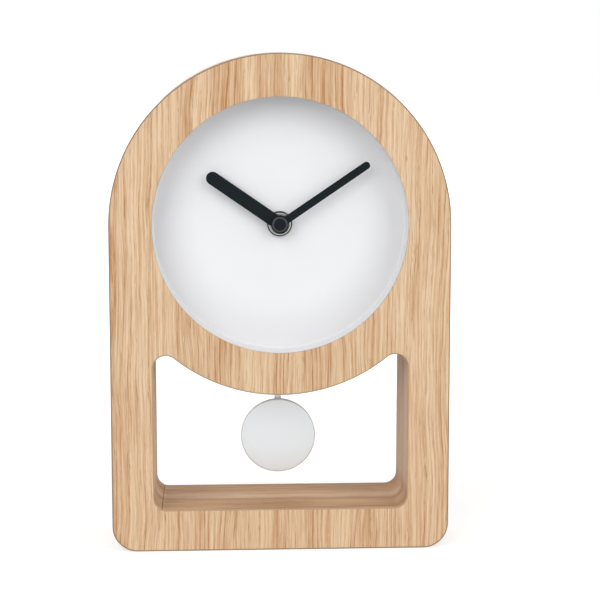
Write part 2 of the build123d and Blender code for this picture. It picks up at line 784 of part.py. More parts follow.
with BuildPart() as intermediate_wheel:
    wheel_with_pinion(
        intermediate_axis,
        (
            intermediate_front,
            intermediate_back,
            INTERMEDIATE_TEETH,
            intermediate_module,
            intermediate_phase,
        ),
        pinion_on(seconds_front, seconds_back, seconds_module),
        PIVOT_DIAMETER / 2,
    )

rotor_pivot = ROTOR_PIVOT_DIAMETER / 2
with BuildPart() as rotor_pinion:
    turned(rotor_axis, plate_front + PINION_OVERHANG, cover_front + BEARING_DEPTH / 2, rotor_pivot)
    toothed(
        rotor_axis, *pinion_on(intermediate_front, intermediate_back, intermediate_module)
    )

with BuildPart() as rotor_magnet:
    turned(rotor_axis, rotor_front, rotor_back, ROTOR_DIAMETER / 2)
    turned(rotor_axis, rotor_front, rotor_back, rotor_pivot + SEAT_FIT, Mode.SUBTRACT)

# Motor
with BuildPart() as stator:
    box((stator_left, stator_right), (stator_front, stator_back), (stator_low, stator_top))
    box(
        (yoke_left, yoke_right),
        (stator_front, stator_back),
        (stator_low + STATOR_BAR, stator_top - STATOR_BAR),
        Mode.SUBTRACT,
    )
    turned(rotor_axis, stator_front, stator_back, ROTOR_DIAMETER / 2 + ROTOR_GAP, Mode.SUBTRACT)


def round_the_bar(left, right, margin, mode=Mode.ADD):
    """A block round the stator's lower bar, larger than the bobbin's tube by a margin."""
    box(
        (left, right),
        (bar_mid_y - bobbin_reach_y - margin, bar_mid_y + bobbin_reach_y + margin),
        (bar_mid_z - bobbin_reach_z - margin, bar_mid_z + bobbin_reach_z + margin),
        mode,
    )


with BuildPart() as motor_bobbin:
    round_the_bar(coil_left, coil_right, 0)
    round_the_bar(coil_left, coil_left + BOBBIN_FLANGE, WINDING)
    round_the_bar(coil_right - BOBBIN_FLANGE, coil_right, WINDING)
    round_the_bar(coil_left, coil_right, -BOBBIN_WALL, Mode.SUBTRACT)

with BuildPart() as motor_winding:
    round_the_bar(coil_left + BOBBIN_FLANGE, coil_right - BOBBIN_FLANGE, WINDING)
    fillet(edges().filter_by(Axis.X), WINDING / 2)
    round_the_bar(coil_left, coil_right, 0, Mode.SUBTRACT)

# Electronics
with BuildPart() as circuit_board:
    box((-board_half, board_half), (board_front, board_front + BOARD), (board_low_z, board_top_z))

with BuildPart() as chip_cover:
    turned(
        (-board_half / 2, board_mid_z),
        board_front + BOARD,
        board_front + BOARD + CHIP_HEIGHT,
        CHIP_RADIUS,
    )
    fillet(faces().sort_by(Axis.Y)[-1].edges(), CHIP_HEIGHT / 2)

with BuildPart() as crystal_can:
    crystal_plane = Plane(
        origin=(
            board_half / 2 - CRYSTAL_LENGTH / 2,
            board_front + BOARD + CRYSTAL_DIAMETER / 2,
            board_mid_z,
        ),
        z_dir=(1, 0, 0),
    )
    with BuildSketch(crystal_plane):
        Circle(CRYSTAL_DIAMETER / 2)
    extrude(amount=CRYSTAL_LENGTH)

with BuildPart() as driver_board:
    box(
        (-driver_half, driver_half),
        (driver_front, driver_front + BOARD),
        (driver_low_z, driver_low_z + DRIVER_BOARD_HEIGHT),
    )

coil_back = cover_front - BOBBIN_FLANGE
coil_front = coil_back - DRIVE_COIL_LENGTH
core_radius = DRIVE_COIL_CORE + BOBBIN_WALL
with BuildPart() as drive_bobbin:
    turned(drive_coil, coil_front - BOBBIN_FLANGE, cover_front, core_radius)
    turned(drive_coil, coil_front - BOBBIN_FLANGE, coil_front, DRIVE_COIL_RADIUS)
    turned(drive_coil, coil_back, cover_front, DRIVE_COIL_RADIUS)
    turned(
        drive_coil, coil_front - BOBBIN_FLANGE, cover_front, DRIVE_COIL_CORE, Mode.SUBTRACT
    )

with BuildPart() as drive_winding:
    turned(drive_coil, coil_front, coil_back, DRIVE_COIL_RADIUS - SHELL_LIP)
    turned(drive_coil, coil_front, coil_back, core_radius + SEAT_FIT, Mode.SUBTRACT)

# Battery and its contacts
plus_x = inner_half - CONTACT - CONTACT_GAP
minus_x = plus_x - BATTERY_LENGTH
with BuildPart() as battery_cell:
    cell_plane = Plane(origin=(minus_x, battery_y, battery_z), z_dir=(1, 0, 0))
    with BuildSketch(cell_plane):
        Circle(BATTERY_DIAMETER / 2)
    extrude(amount=BATTERY_LENGTH - BATTERY_NUB)
    fillet(edges().filter_by(GeomType.CIRCLE), BATTERY_ROUNDING)
    with BuildSketch(cell_plane.offset(BATTERY_LENGTH - BATTERY_NUB)):
        Circle(BATTERY_NUB_DIAMETER / 2)
    extrude(amount=BATTERY_NUB)

contact_z = (battery_z - CONTACT_WIDTH / 2, battery_z + CONTACT_WIDTH / 2)
with BuildPart() as positive_contact:
    box(
        (inner_half - CONTACT, inner_half),
        (battery_y - CONTACT_LENGTH / 2, battery_y + CONTACT_LENGTH / 2),
        contact_z,
    )

spring_peak_x = minus_x - CONTACT_GAP - CONTACT / 2
spring_foot_x = -inner_half + CONTACT / 2
with BuildPart() as negative_contact:
    with BuildSketch(Plane.XY.offset(contact_z[0])):
        with BuildLine():
            Polyline(
                (spring_foot_x, battery_y + CONTACT_LENGTH / 2),
                (spring_foot_x, battery_y - CONTACT_LENGTH / 2),
                (spring_peak_x, battery_y),
                (spring_foot_x + 2 * CONTACT, battery_y + CONTACT_LENGTH / 2 - CONTACT),
            )
        trace(line_width=CONTACT)
    extrude(amount=CONTACT_WIDTH)

# Hands
minute_angle = TIME_SHOWN % 60 * 6
hour_angle = TIME_SHOWN / 2 % 360


def hand(front, angle, length, width, hole):
    """A straight hand with a round end on a round hub, turned clockwise from twelve."""
    x, z = shaft
    along = (sin(radians(angle)), 0, cos(radians(angle)))
    plane = Plane(origin=(x, front + HAND_SHEET, z), x_dir=along, z_dir=(0, -1, 0))
    with BuildSketch(plane) as shape:
        Circle(HUB_DIAMETER / 2)
        with Locations(((length - width / 2) / 2, 0)):
            SlotCenterToCenter(length - width / 2, width)
        Circle(hole, mode=Mode.SUBTRACT)
    extrude(shape.sketch, amount=HAND_SHEET)


with BuildPart() as hour_hand:
    hand(
        hour_hand_y - HAND_SHEET,
        hour_angle,
        dial_radius - HOUR_HAND_MARGIN,
        HOUR_HAND_WIDTH,
        tube_radius + SEAT_FIT,
    )

with BuildPart() as minute_hand:
    hand(
        cap_y,
        minute_angle,
        dial_radius - MINUTE_HAND_MARGIN,
        MINUTE_HAND_WIDTH,
        arbor_radius + SEAT_FIT,
    )

with BuildPart() as hand_cap:
    turned(shaft, cap_y - CAP_STEP, cap_y, CAP_DIAMETER / 2)
    turned(shaft, cap_y - 2 * CAP_STEP, cap_y - CAP_STEP, CAP_CROWN_DIAMETER / 2)
    fillet(faces().sort_by(Axis.Y)[0].edges(), CAP_ROUNDING)

# Pendulum
hub_back = hanger_front + HANGER_HUB_LENGTH
magnet_radius = MAGNET_DIAMETER / 2
with BuildPart() as pivot_pin:
    turned(pivot, boss_front, hub_back + HANGER_GAP, pin_radius)
    turned(
        pivot, hub_back + HANGER_GAP, hub_back + HANGER_GAP + PIN_HEAD, PIN_HEAD_DIAMETER / 2
    )

with BuildPart() as pendulum_hanger:
    with BuildSketch(facing(hanger_plate_back)):
        with Locations((0, (pivot[1] + peg[1]) / 2)):
            SlotOverall(pivot[1] - peg[1] + HANGER_WIDTH, HANGER_WIDTH, rotation=90)
        with Locations(drive_coil):
            Circle(magnet_radius + HANGER_RING)
            Circle(magnet_radius + SEAT_FIT, mode=Mode.SUBTRACT)
    extrude(amount=HANGER_PLATE)
    turned(pivot, hanger_front, hub_back, HANGER_HUB_RADIUS)
    turned(pivot, hanger_front, hub_back, pin_radius + RUNNING_FIT, Mode.SUBTRACT)
    turned(peg, hanger_plate_back, rod_back + ROD_PLAY, PEG_DIAMETER / 2)
    turned(peg, rod_back + ROD_PLAY, rod_back + ROD_PLAY + PEG_HEAD, PEG_HEAD_DIAMETER / 2)

with BuildPart() as hanger_magnet:
    turned(drive_coil, hanger_plate_back - MAGNET_LENGTH, hanger_plate_back, magnet_radius)

bob_top_z = bob_z + BOB_DIAMETER / 2
rod_low_z = bob_top_z - ROD_LAP
with BuildPart() as pendulum_rod:
    with BuildSketch(facing(rod_back)):
        with Locations(peg):
            Circle(ROD_EYE_RADIUS)
        with Locations((0, rod_low_z)):
            Rectangle(ROD_WIDTH, peg[1] - rod_low_z, align=(Align.CENTER, Align.MIN))
        with Locations(peg):
            Circle(PEG_DIAMETER / 2 + ROD_PLAY, mode=Mode.SUBTRACT)
    extrude(amount=ROD_SHEET)

bob_radius = BOB_DIAMETER / 2
dome_radius = (bob_radius**2 + BOB_DOME**2) / (2 * BOB_DOME)
with BuildPart() as pendulum_bob:
    with BuildSketch(Plane.XY.offset(bob_z)):
        with BuildLine():
            sides = Polyline(
                (0, rod_front - BOB_RIM - BOB_DOME),
                (0, rod_front),
                (bob_radius, rod_front),
                (bob_radius, rod_front - BOB_RIM),
            )
            RadiusArc(sides @ 1, sides @ 0, dome_radius)
        make_face()
    revolve(axis=Axis((0, 0, bob_z), (0, 1, 0)))
    rims = edges().filter_by(GeomType.CIRCLE).sort_by(SortBy.LENGTH)[-2:]
    fillet(rims, BOB_ROUNDING)

pieces = {
    "front_veneer": front_veneer,
    "front_layer": front_layer,
    "dial_board": dial_board,
    "rear_layer": rear_layer,
    "back_veneer": back_veneer,
    "edge_veneer": edge_veneer,
    "base_veneer": base_veneer,
    "window_lining": window_lining,
    "dial_dish": dial_dish,
    "threaded_bush": threaded_bush,
    "mounting_nut": mounting_nut,
    "gasket": gasket,
    "movement_shell": movement_shell,
    "mid_plate": mid_plate,
    "rear_cover": rear_cover,
    "cover_screws": cover_screws,
    "minute_arbor": minute_arbor,
    "hour_wheel": hour_wheel,
    "minute_wheel": minute_wheel,
    "setting_pinion": setting_pinion,
    "setting_knob": setting_knob,
    "centre_wheel": centre_wheel,
    "friction_collar": friction_collar,
    "third_wheel": third_wheel,
    "seconds_wheel": seconds_wheel,
    "intermediate_wheel": intermediate_wheel,
    "rotor_pinion": rotor_pinion,
    "rotor_magnet": rotor_magnet,
    "stator": stator,
    "motor_bobbin": motor_bobbin,
    "motor_winding": motor_winding,
    "circuit_board": circuit_board,
    "chip_cover": chip_cover,
    "crystal_can": crystal_can,
    "driver_board": driver_board,
    "drive_bobbin": drive_bobbin,
    "drive_winding": drive_winding,
    "battery_cell": battery_cell,
    "positive_contact": positive_contact,
    "negative_contact": negative_contact,
    "hour_hand": hour_hand,
    "minute_hand": minute_hand,
    "hand_cap": hand_cap,
    "pivot_pin": pivot_pin,
    "pendulum_hanger": pendulum_hanger,
    "hanger_magnet": hanger_magnet,
    "pendulum_rod": pendulum_rod,
    "pendulum_bob": pendulum_bob,
}

os.makedirs("parts", exist_ok=True)
for name, piece in pieces.items():
    piece.part.label = name
    export_step(piece.part, f"parts/{name}.step")
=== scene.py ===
"""Looks for a desk pendulum clock: its visible pieces, its finishes and a plain studio.

Everything is in metres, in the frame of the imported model: X to the right, Y to the back, Z up.
"""

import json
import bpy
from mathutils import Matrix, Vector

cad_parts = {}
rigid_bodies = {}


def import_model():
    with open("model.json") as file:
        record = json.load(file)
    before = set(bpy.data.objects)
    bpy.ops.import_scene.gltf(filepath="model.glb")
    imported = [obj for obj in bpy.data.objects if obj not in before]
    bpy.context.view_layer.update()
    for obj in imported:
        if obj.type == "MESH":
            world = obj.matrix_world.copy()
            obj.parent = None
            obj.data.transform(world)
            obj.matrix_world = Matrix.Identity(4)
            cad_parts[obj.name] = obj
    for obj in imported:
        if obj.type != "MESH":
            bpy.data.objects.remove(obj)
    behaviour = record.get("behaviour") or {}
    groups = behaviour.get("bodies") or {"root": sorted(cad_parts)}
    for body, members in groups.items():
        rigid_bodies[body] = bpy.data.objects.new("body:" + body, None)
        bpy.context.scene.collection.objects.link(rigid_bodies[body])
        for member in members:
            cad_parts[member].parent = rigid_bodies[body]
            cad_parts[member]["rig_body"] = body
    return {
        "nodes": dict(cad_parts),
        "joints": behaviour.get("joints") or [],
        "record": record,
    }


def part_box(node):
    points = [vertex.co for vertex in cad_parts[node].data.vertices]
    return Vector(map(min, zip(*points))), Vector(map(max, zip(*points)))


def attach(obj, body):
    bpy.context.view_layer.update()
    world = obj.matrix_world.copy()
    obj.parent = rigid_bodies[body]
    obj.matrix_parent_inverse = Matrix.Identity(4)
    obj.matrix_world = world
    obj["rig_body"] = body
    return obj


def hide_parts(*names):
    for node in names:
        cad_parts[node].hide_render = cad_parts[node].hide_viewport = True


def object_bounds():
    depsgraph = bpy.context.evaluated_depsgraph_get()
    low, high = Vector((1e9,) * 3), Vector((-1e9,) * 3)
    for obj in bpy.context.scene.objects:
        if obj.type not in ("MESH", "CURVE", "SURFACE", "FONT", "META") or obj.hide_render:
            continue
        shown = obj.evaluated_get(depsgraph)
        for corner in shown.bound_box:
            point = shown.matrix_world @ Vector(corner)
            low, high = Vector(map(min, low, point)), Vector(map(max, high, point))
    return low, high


bl_info = {
    "name": "Desk pendulum clock",
    "version": (1, 0, 0),
    "blender": (4, 5, 0),
    "location": "3D View > Sidebar > Clock",
    "description": "Veneered case, dial, hands, battery movement and pendulum of a desk clock",
    "category": "Object",
}

from math import acos, asin, atan2, cos, degrees, hypot, pi, radians, sin, sqrt, tan

import bmesh
import bpy
from bpy.props import FloatProperty, FloatVectorProperty, IntProperty, PointerProperty
from mathutils import Matrix, Vector

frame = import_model()
CAD_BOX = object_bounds()
FRONT, BACK = CAD_BOX[0].y, CAD_BOX[1].y
HALF_WIDTH = CAD_BOX[1].x
MM = 0.001
NODES = frame["nodes"]
AXES = {joint["name"]: joint["pos_m"] for joint in frame["joints"] if joint["type"] == "hinge"}
SLOTS = {part["node"]: part["material_slot"] for part in frame["record"]["subparts"]}
SPECULAR = "Specular IOR Level"

# Steps of the case's base corners and arch
BASE_STEPS, ARCH_STEPS = 16, 59

# Steps of the window's lower corners, its upper corners, the ring beside the slot, and the slot
LOW_STEPS, HIGH_STEPS, RING_STEPS, SLOT_STEPS = 12, 20, 20, 16

# Layers of the wood's grain: scale across and along it, seed, detail and roughness of the noise
GRAIN = {
    "bend": (0.011, 0.008, 3.1, 2.0, 0.5),
    "wave": (0.07, 0.035, 4.4, 1.0, 0.5),
    "pace": (0.06, 0.002, 7.7, 1.0, 0.5),
    "bands": (0.12, 0.003, 8.9, 1.0, 0.5),
    "lines": (1.25, 0.022, 5.2, 2.0, 0.6),
    "fibres": (2.7, 0.075, 2.4, 3.0, 0.65),
    "vessels": (3.3, 0.16, 9.6, 1.0, 0.5),
}

# Moulded and painted finishes: roughness, spots per millimetre, relief in millimetres, variation
MOULDED = {
    "dial white": (0.55, 1.6, 0.004, 0.008),
    "hand black": (0.6, 4.0, 0.004, 0.06),
    "gasket rubber": (0.8, 3.0, 0.012, 0.07),
    "housing black": (0.55, 3.2, 0.03, 0.1),
    "mark grey": (0.5, 3.2, 0.02, 0.05),
    "knob black": (0.5, 3.0, 0.02, 0.07),
    "cell wrap": (0.3, 1.5, 0.004, 0.05),
    "cell band": (0.3, 1.5, 0.004, 0.05),
    "pendulum white": (0.5, 1.2, 0.003, 0.01),
    "hanger plastic": (0.5, 3.0, 0.02, 0.07),
    "sintered magnet": (0.45, 4.0, 0.02, 0.12),
    "rotor magnet": (0.45, 4.0, 0.02, 0.12),
    "wheel nylon": (0.45, 2.0, 0.006, 0.03),
    "plate white": (0.5, 2.0, 0.01, 0.03),
    "bobbin plastic": (0.5, 2.0, 0.01, 0.04),
    "board green": (0.4, 1.2, 0.01, 0.12),
    "chip epoxy": (0.25, 1.0, 0.02, 0.1),
}


def axis_of(joint):
    """The place of a hinge as x and z."""
    x, _, z = AXES[joint]
    return x, z


SHAFT = axis_of("minute_hand_turn")
PIVOT = axis_of("pendulum_swing")
KNOB_AXIS = axis_of("setting_knob_turn")


def srgb(*levels):
    """A colour given in levels from 0 to 255, as the linear values that Blender mixes."""
    return tuple(((v / 255 + 0.055) / 1.055) ** 2.4 for v in levels)


def amount(name, description, default, **kind):
    """A number property, with its limits and its unit or subtype where one fits."""
    return FloatProperty(name=name, description=description, default=default, **kind)


def length(name, description, default):
    """A length property, with its default in millimetres."""
    return amount(name, description, default * MM, min=0, unit="LENGTH")


def share(name, description, default):
    """A property between 0 and 1."""
    return amount(name, description, default, min=0, max=1, subtype="FACTOR")


def angle(name, description, default):
    """An angle property, with its default in degrees."""
    return amount(name, description, radians(default), subtype="ANGLE")


def tone(name, description, *levels):
    """A colour property, with its default in levels from 0 to 255."""
    colour = srgb(*levels)
    return FloatVectorProperty(
        name=name, description=description, default=colour, min=0, max=1, subtype="COLOR"
    )


class ClockCaseLook(bpy.types.PropertyGroup):
    frame_width: length("Frame width", "Wood between the outline and the openings", 20)
    base_corner: length("Base corner", "Radius of the two corners on the base", 12)
    window_corner: length("Window corner", "Radius of the window's corners", 6)
    rear_room: length("Rear room", "Radius of the round room at the back", 55)
    slot_half: length("Slot half", "From the middle to a side of the slot for the rod", 16.3)
    slot_front: length("Slot front", "Depth at which the slot begins", 9)
    slot_back: length("Slot back", "Depth at which the slot ends", 19)
    veneer: length("Veneer", "Thickness of the veneer", 0.6)
    rounding: length("Rounding", "Radius along the outer edges of the veneer", 0.4)
    joint_ease: length("Joint ease", "Tiny rounding where two veneers meet", 0.08)
    seam: length("Seam", "Gap between the two ends of the window lining", 0.25)
    seam_angle: angle("Seam angle", "Place of the seam round the lower left corner", 246)
    light: tone("Light wood", "Early wood of the front", 240, 211, 176)
    dark: tone("Dark wood", "Late wood of the front", 186, 132, 82)
    pore: tone("Pores", "Open pores and fine growth lines", 146, 102, 68)
    lining_light: tone("Light lining", "Early wood of the window lining", 206, 168, 126)
    lining_dark: tone("Dark lining", "Late wood of the window lining", 144, 98, 56)
    # The paler lining tone goes into a streak along the lining and, as painted light, onto its
    # uprights.
    lining_streak_and_painted_light: tone("Pale lining", "Paler tone of the window lining", 220, 194, 167)
    lining_edge: tone("Lining edge", "Cut edge of the window lining", 190, 158, 128)
    cut_edge: tone("Cut edge", "Cut edge of the outer strips", 150, 127, 106)
    core: tone("Board core", "Fibreboard under the veneer", 158, 124, 92)


class ClockDialLook(bpy.types.PropertyGroup):
    wall: length("Wall", "Thickness of the dish's wall at its foot", 0.3)
    lip: length("Lip", "Thickness of the dish's wall at its front edge", 0.25)
    floor: length("Floor", "Thickness of the dial face", 1.2)
    rounding: length("Rounding", "Cove between the face and the wall", 0.6)
    hole: length("Hole", "Radius of the hole for the bush", 4.3)
    white: tone("Dial white", "Matt white of the dial's face", 243, 244, 246)
    # Painted shade: the next three settings make the dial's white greyer towards the rim of the dish,
    # and most of all at its foot.
    painted_rim_shade: tone("Rim white", "Softer white at the foot of the dish's rim", 224, 224, 225)
    shade_reach: length("Wash", "From the tone's middle to where the softer white begins", 38)
    shade_lift: length("Wash lift", "Height of the tone's middle over the dial's centre", 4)
    time: amount("Time", "Minutes after twelve that the hands show", 609.3)
    minute_length: length("Minute hand", "From the centre to the tip", 50.8)
    minute_width: length("Minute width", "Width of the minute hand", 3.6)
    minute_hole: length("Minute hole", "Radius of the minute hand's hole", 1.62)
    hour_length: length("Hour hand", "From the centre to the tip", 41.3)
    hour_width: length("Hour width", "Width of the hour hand", 6.2)
    hour_hole: length("Hour hole", "Radius of the hour hand's hole", 2.52)
    hub: length("Hub", "Radius of both hands' hubs", 4.3)
    hand_ease: length("Hand ease", "Rounding along the edges of the hands", 0.15)
    cap_step: length("Cap step", "Width of the step round the cap's crown", 0.8)
    nut_chamfer: length("Nut chamfer", "Width of the chamfer round the nut's face", 0.75)
    groove: length("Groove", "Depth of the ring cut in the nut's face", 0.14)
    thread_pitch: length("Thread pitch", "Pitch of the bush's thread", 0.5)
    black: tone("Hand black", "Satin black of the hands", 20, 28, 31)
    nickel: tone("Nickel", "Plating on the nut's face", 190, 189, 181)
    # Painted shade and highlight: this dark metal darkens the nut's chamfer and groove as their shade,
    # and lightens the step round the black cap as its highlight.
    nut_shade_and_cap_glint: tone("Dark nickel", "Nut's chamfer and groove, and the ring on the cap", 70, 74, 76)
    brass: tone("Brass", "Bush, arbor and collar", 214, 182, 116)


class ClockMovementLook(bpy.types.PropertyGroup):
    ease: length("Ease", "Rounding along the moulded edges", 0.25)
    black: tone("Housing black", "Moulded housing", 38, 38, 40)
    mark_grey: tone("Mark grey", "Arrow and polarity marks on the housing", 132, 132, 134)
    mark_height: length("Mark height", "How far moulded marks stand up", 0.25)
    knob_ribs: IntProperty(name="Knob ribs", description="Ribs round the knob", default=20)
    rib_radius: length("Rib radius", "Half the width of a knob's rib", 0.42)
    screw_head: length("Screw head", "Radius of a cover screw's head", 1.5)
    wire: length("Wire", "Radius of the coil wire as drawn", 0.1)
    wrap: tone("Cell wrap", "Film round the cell", 52, 58, 64)
    wrap_length: length("Wrap length", "From the negative end to the band", 33)
    wrap_band: tone("Cell band", "Band at the positive end", 196, 128, 72)


class ClockPendulumLook(bpy.types.PropertyGroup):
    ease: length("Ease", "Rounding along the hanger and rod", 0.15)
    dome: length("Dome", "Rise of the bob's face", 0.8)
    rim: length("Rim rounding", "Radius round the bob's rim", 0.8)
    white: tone("Pendulum white", "Pearl lacquer of rod and bob", 241, 249, 254)


class ClockStudioLook(bpy.types.PropertyGroup):
    camera: FloatVectorProperty(
        name="Camera",
        description="Place of the camera",
        default=(-32.6 * MM, -850.2 * MM, 236.3 * MM),
        subtype="TRANSLATION",
    )
    yaw: angle("Yaw", "Turn to the right", 2.888)
    pitch: angle("Pitch", "Tilt down", 7.995)
    lens: amount("Lens", "Focal length for a sensor 36 mm wide", 106.94, unit="CAMERA")
    left: amount("Left light", "Power of the left softbox", 187.0, unit="POWER")
    right: amount("Right light", "Power of the right softbox", 145.0, unit="POWER")
    back: amount("Back light", "Power of the softbox behind the clock", 19.0, unit="POWER")
    ambient: share("Ambient", "Strength of the even light all round", 0.4)
    floor: tone("Floor", "Colour of the floor", 200, 200, 200)
    glow: share("Floor glow", "Even white added near the clock where the floor is seen", 0.6)
    near: length("Glow start", "Distance from the clock at which the floor grows whiter", 100)
    spread: length("Glow spread", "Distance from the clock at which the floor is all white", 700)


def look(part):
    """The settings of one part of the clock."""
    return getattr(bpy.context.scene, f"clock_{part}")


# Outlines and meshes


def pairs(loop):
    """Neighbours round a closed loop."""
    return zip(loop, loop[1:] + loop[:1])


def arc(centre, radius, start, end, steps):
    """Points on an arc as x and z, from one angle to another in degrees."""
    turns = [radians(start + (end - start) * i / steps) for i in range(steps + 1)]
    return [(centre[0] + radius * cos(t), centre[1] + radius * sin(t)) for t in turns]


def ring(centre, radius, steps):
    """A full circle of points."""
    return arc(centre, radius, 0, 360, steps)[:-1]


def cross(centre, arm, half):
    """The outline of a plus sign."""
    loop, corner = [], [(arm, -half), (arm, half), (half, half)]
    for _ in range(4):
        loop += [(centre[0] + x, centre[1] + z) for x, z in corner]
        corner = [(-z, x) for x, z in corner]
    return loop


def eased(corners, steps=4):
    """A loop of points through corners, each given with the radius that rounds it."""
    loop = []
    for i, (*corner, radius) in enumerate(corners):
        at = Vector(corner)
        if radius == 0:
            loop.append(tuple(at))
            continue
        before = (Vector(corners[i - 1][:2]) - at).normalized()
        after = (Vector(corners[(i + 1) % len(corners)][:2]) - at).normalized()
        half = acos(max(-1.0, min(1.0, before.dot(after)))) / 2
        centre = at + (before + after).normalized() * radius / sin(half)
        reach = radius / tan(half)
        start, end = at + before * reach - centre, at + after * reach - centre
        for k in range(steps + 1):
            loop.append(tuple(centre + start.lerp(end, k / steps).normalized() * radius))
    return loop


def area(loop):
    """The signed area of a loop, above zero where it runs anticlockwise."""
    return sum(a[0] * b[1] - b[0] * a[1] for a, b in pairs(loop)) / 2


def drawn_in(loop, distance):
    """A loop moved to its left by a distance."""
    points = [Vector(at) for at in loop]
    sides = [b - a for a, b in pairs(points)]
    lefts = [Vector((-side.y, side.x)).normalized() for side in sides]
    moved = []
    for i, at in enumerate(points):
        left = (lefts[i - 1] + lefts[i]).normalized()
        spread = max(0.5, left.dot(lefts[i]))
        moved.append(tuple(at + left * distance / spread))
    return moved


def stitch(bm, first, second):
    """Quads between two rings of vertices, or a fan where one of them is a single vertex."""
    if len(first) == 1 or len(second) == 1:
        pole, edge = (first, second) if len(first) == 1 else (second, first)
        for a, b in pairs(edge):
            bm.faces.new((pole[0], a, b))
        return
    for (a, b), (c, d) in zip(pairs(first), pairs(second)):
        bm.faces.new((a, b, d, c))


def meshed(bm, name):
    """The mesh of a working copy, which is freed."""
    mesh = bpy.data.meshes.new(name)
    bm.to_mesh(mesh)
    bm.free()
    return mesh


def outward(bm, name):
    """The mesh of a closed shell, with its faces turned outwards."""
    bmesh.ops.recalc_face_normals(bm, faces=bm.faces)
    return meshed(bm, name)


def turned(name, loop, centre=(0, 0), steps=96, finishes=None):
    """A turned shape about an axis from front to back; the loop holds radius and depth.

    A loop that starts and ends on the axis is a solid, and any other one closes on itself.
    """
    bm = bmesh.new()
    rings = []
    for radius, depth in loop:
        spots = [centre] if radius < 1e-7 else ring(centre, radius, steps)
        rings.append([bm.verts.new((x, depth, z)) for x, z in spots])
    stretches = zip(rings, rings[1:]) if len(rings[0]) == 1 else pairs(rings)
    for i, (first, second) in enumerate(stretches):
        count = len(bm.faces)
        stitch(bm, first, second)
        bm.faces.ensure_lookup_table()
        for face in bm.faces[count:]:
            face.material_index = finishes[i] if finishes else 0
    return outward(bm, name)


def plate(name, loops, front, back, ease, steps=3):
    """A sheet between two depths: the first loop is its outline and the others are holes."""
    bm = bmesh.new()
    caps = ([], [])
    turns = [radians(90 * k / steps) for k in range(steps + 1)]
    shape = [(ease * (1 - sin(t)), front + ease * (1 - cos(t))) for t in turns]
    shape += [(inset, front + back - depth) for inset, depth in reversed(shape)]
    for i, loop in enumerate(loops):
        if (area(loop) > 0) != (i == 0):
            loop = loop[::-1]
        rings = [
            [bm.verts.new((x, depth, z)) for x, z in drawn_in(loop, inset)]
            for inset, depth in shape
        ]
        for first, second in zip(rings, rings[1:]):
            stitch(bm, first, second)
        for cap, verts in zip(caps, (rings[0], rings[-1])):
            cap.extend(bm.edges.get(pair) for pair in pairs(verts))
    for cap in caps:
        bmesh.ops.triangle_fill(bm, use_beauty=True, edges=cap)
    return outward(bm, name)


def swept(name, path, section, hole=None):
    """A band along a path of points with their normals; the section holds offset and depth.

    Each vertex keeps its length along the band. A hole is given as the range of path steps and
    the two section ranges, inside and outside, that it goes through.
    """
    bm = bmesh.new()
    along = bm.verts.layers.float.new("along")
    rings, run = [], 0.0
    for i, ((x, z), (nx, nz)) in enumerate(path):
        if i:
            run += hypot(x - path[i - 1][0][0], z - path[i - 1][0][1])
        rings.append([bm.verts.new((x + nx * o, depth, z + nz * o)) for o, depth in section])
        for vert in rings[-1]:
            vert[along] = run
    steps, inside, outside = (range(*ends) for ends in hole or ((0, 0),) * 3)
    for i, (first, second) in enumerate(zip(rings, rings[1:])):
        for j, ((a, b), (c, d)) in enumerate(zip(pairs(first), pairs(second))):
            if i in steps and (j in inside or j in outside):
                continue
            bm.faces.new((a, b, d, c))
    for verts in (rings[0], rings[-1]):
        bm.faces.new(verts)
    if hole:
        ends = ((inside.start, outside.stop), (inside.stop, outside.start))
        for i in steps:
            for a, b in ends:
                bm.faces.new((rings[i][a], rings[i][b], rings[i + 1][b], rings[i + 1][a]))
        for i in (steps.start, steps.stop):
            for a, b in zip(inside, range(outside.stop, outside.start, -1)):
                bm.faces.new((rings[i][a], rings[i][b], rings[i][b - 1], rings[i][a + 1]))
    return outward(bm, name)


def linked(name, data):
    """An object in the scene that shows some data."""
    item = bpy.data.objects.new(name, data)
    bpy.context.scene.collection.objects.link(item)
    return item


def baked(maker):
    """The plain mesh that an object's modifiers make. The object is removed."""
    graph = bpy.context.evaluated_depsgraph_get()
    mesh = bpy.data.meshes.new_from_object(maker.evaluated_get(graph))
    bpy.data.objects.remove(maker)
    return mesh


def softened(node, ease):
    """A copy of a CAD node's mesh with its flat faces joined and its edges rounded."""
    bm = bmesh.new()
    bm.from_mesh(NODES[node].data)
    bmesh.ops.remove_doubles(bm, verts=bm.verts, dist=2e-6)
    bmesh.ops.dissolve_limit(bm, angle_limit=radians(0.5), verts=bm.verts, edges=bm.edges)
    maker = linked(node + "_maker", meshed(bm, node))
    bevel = maker.modifiers.new("Ease", "BEVEL")
    bevel.width = ease
    bevel.segments = 2
    bevel.limit_method = "ANGLE"
    bevel.angle_limit = radians(30)
    return baked(maker)


def place(name, mesh, body, slot, *finishes):
    """A piece of the clock, smooth up to a crease angle, that moves with a body.

    Large faces count for more in its normals, so a flat face stays flat up to its rounding.
    """
    mesh.shade_smooth()
    mesh.set_sharp_from_angle(angle=radians(35))
    for finish in finishes:
        mesh.materials.append(finish)
    maker = linked(name + "_maker", mesh)
    flat = maker.modifiers.new("Flat faces", "WEIGHTED_NORMAL")
    flat.weight = 90
    flat.keep_sharp = True
    mesh = baked(maker)
    mesh.name = name
    piece = linked(name, mesh)
    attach(piece, body)
    return piece


def stand_in(name, node, mesh, *finishes):
    """A piece that is shown in place of a CAD node and takes its body."""
    piece = place(name, mesh, NODES[node]["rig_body"], SLOTS[node], *finishes)
    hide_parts(node)


def dress(finish, *nodes):
    """Gives CAD nodes a finish and leaves their shape alone."""
    for node in nodes:
        NODES[node].data.materials.clear()
        NODES[node].data.materials.append(finish)


def round_box(node):
    """The corners of a round node's box, its radius, and its middle as x and z."""
    low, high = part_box(node)
    return low, high, (high.x - low.x) / 2, ((low.x + high.x) / 2, (low.z + high.z) / 2)


# Node trees


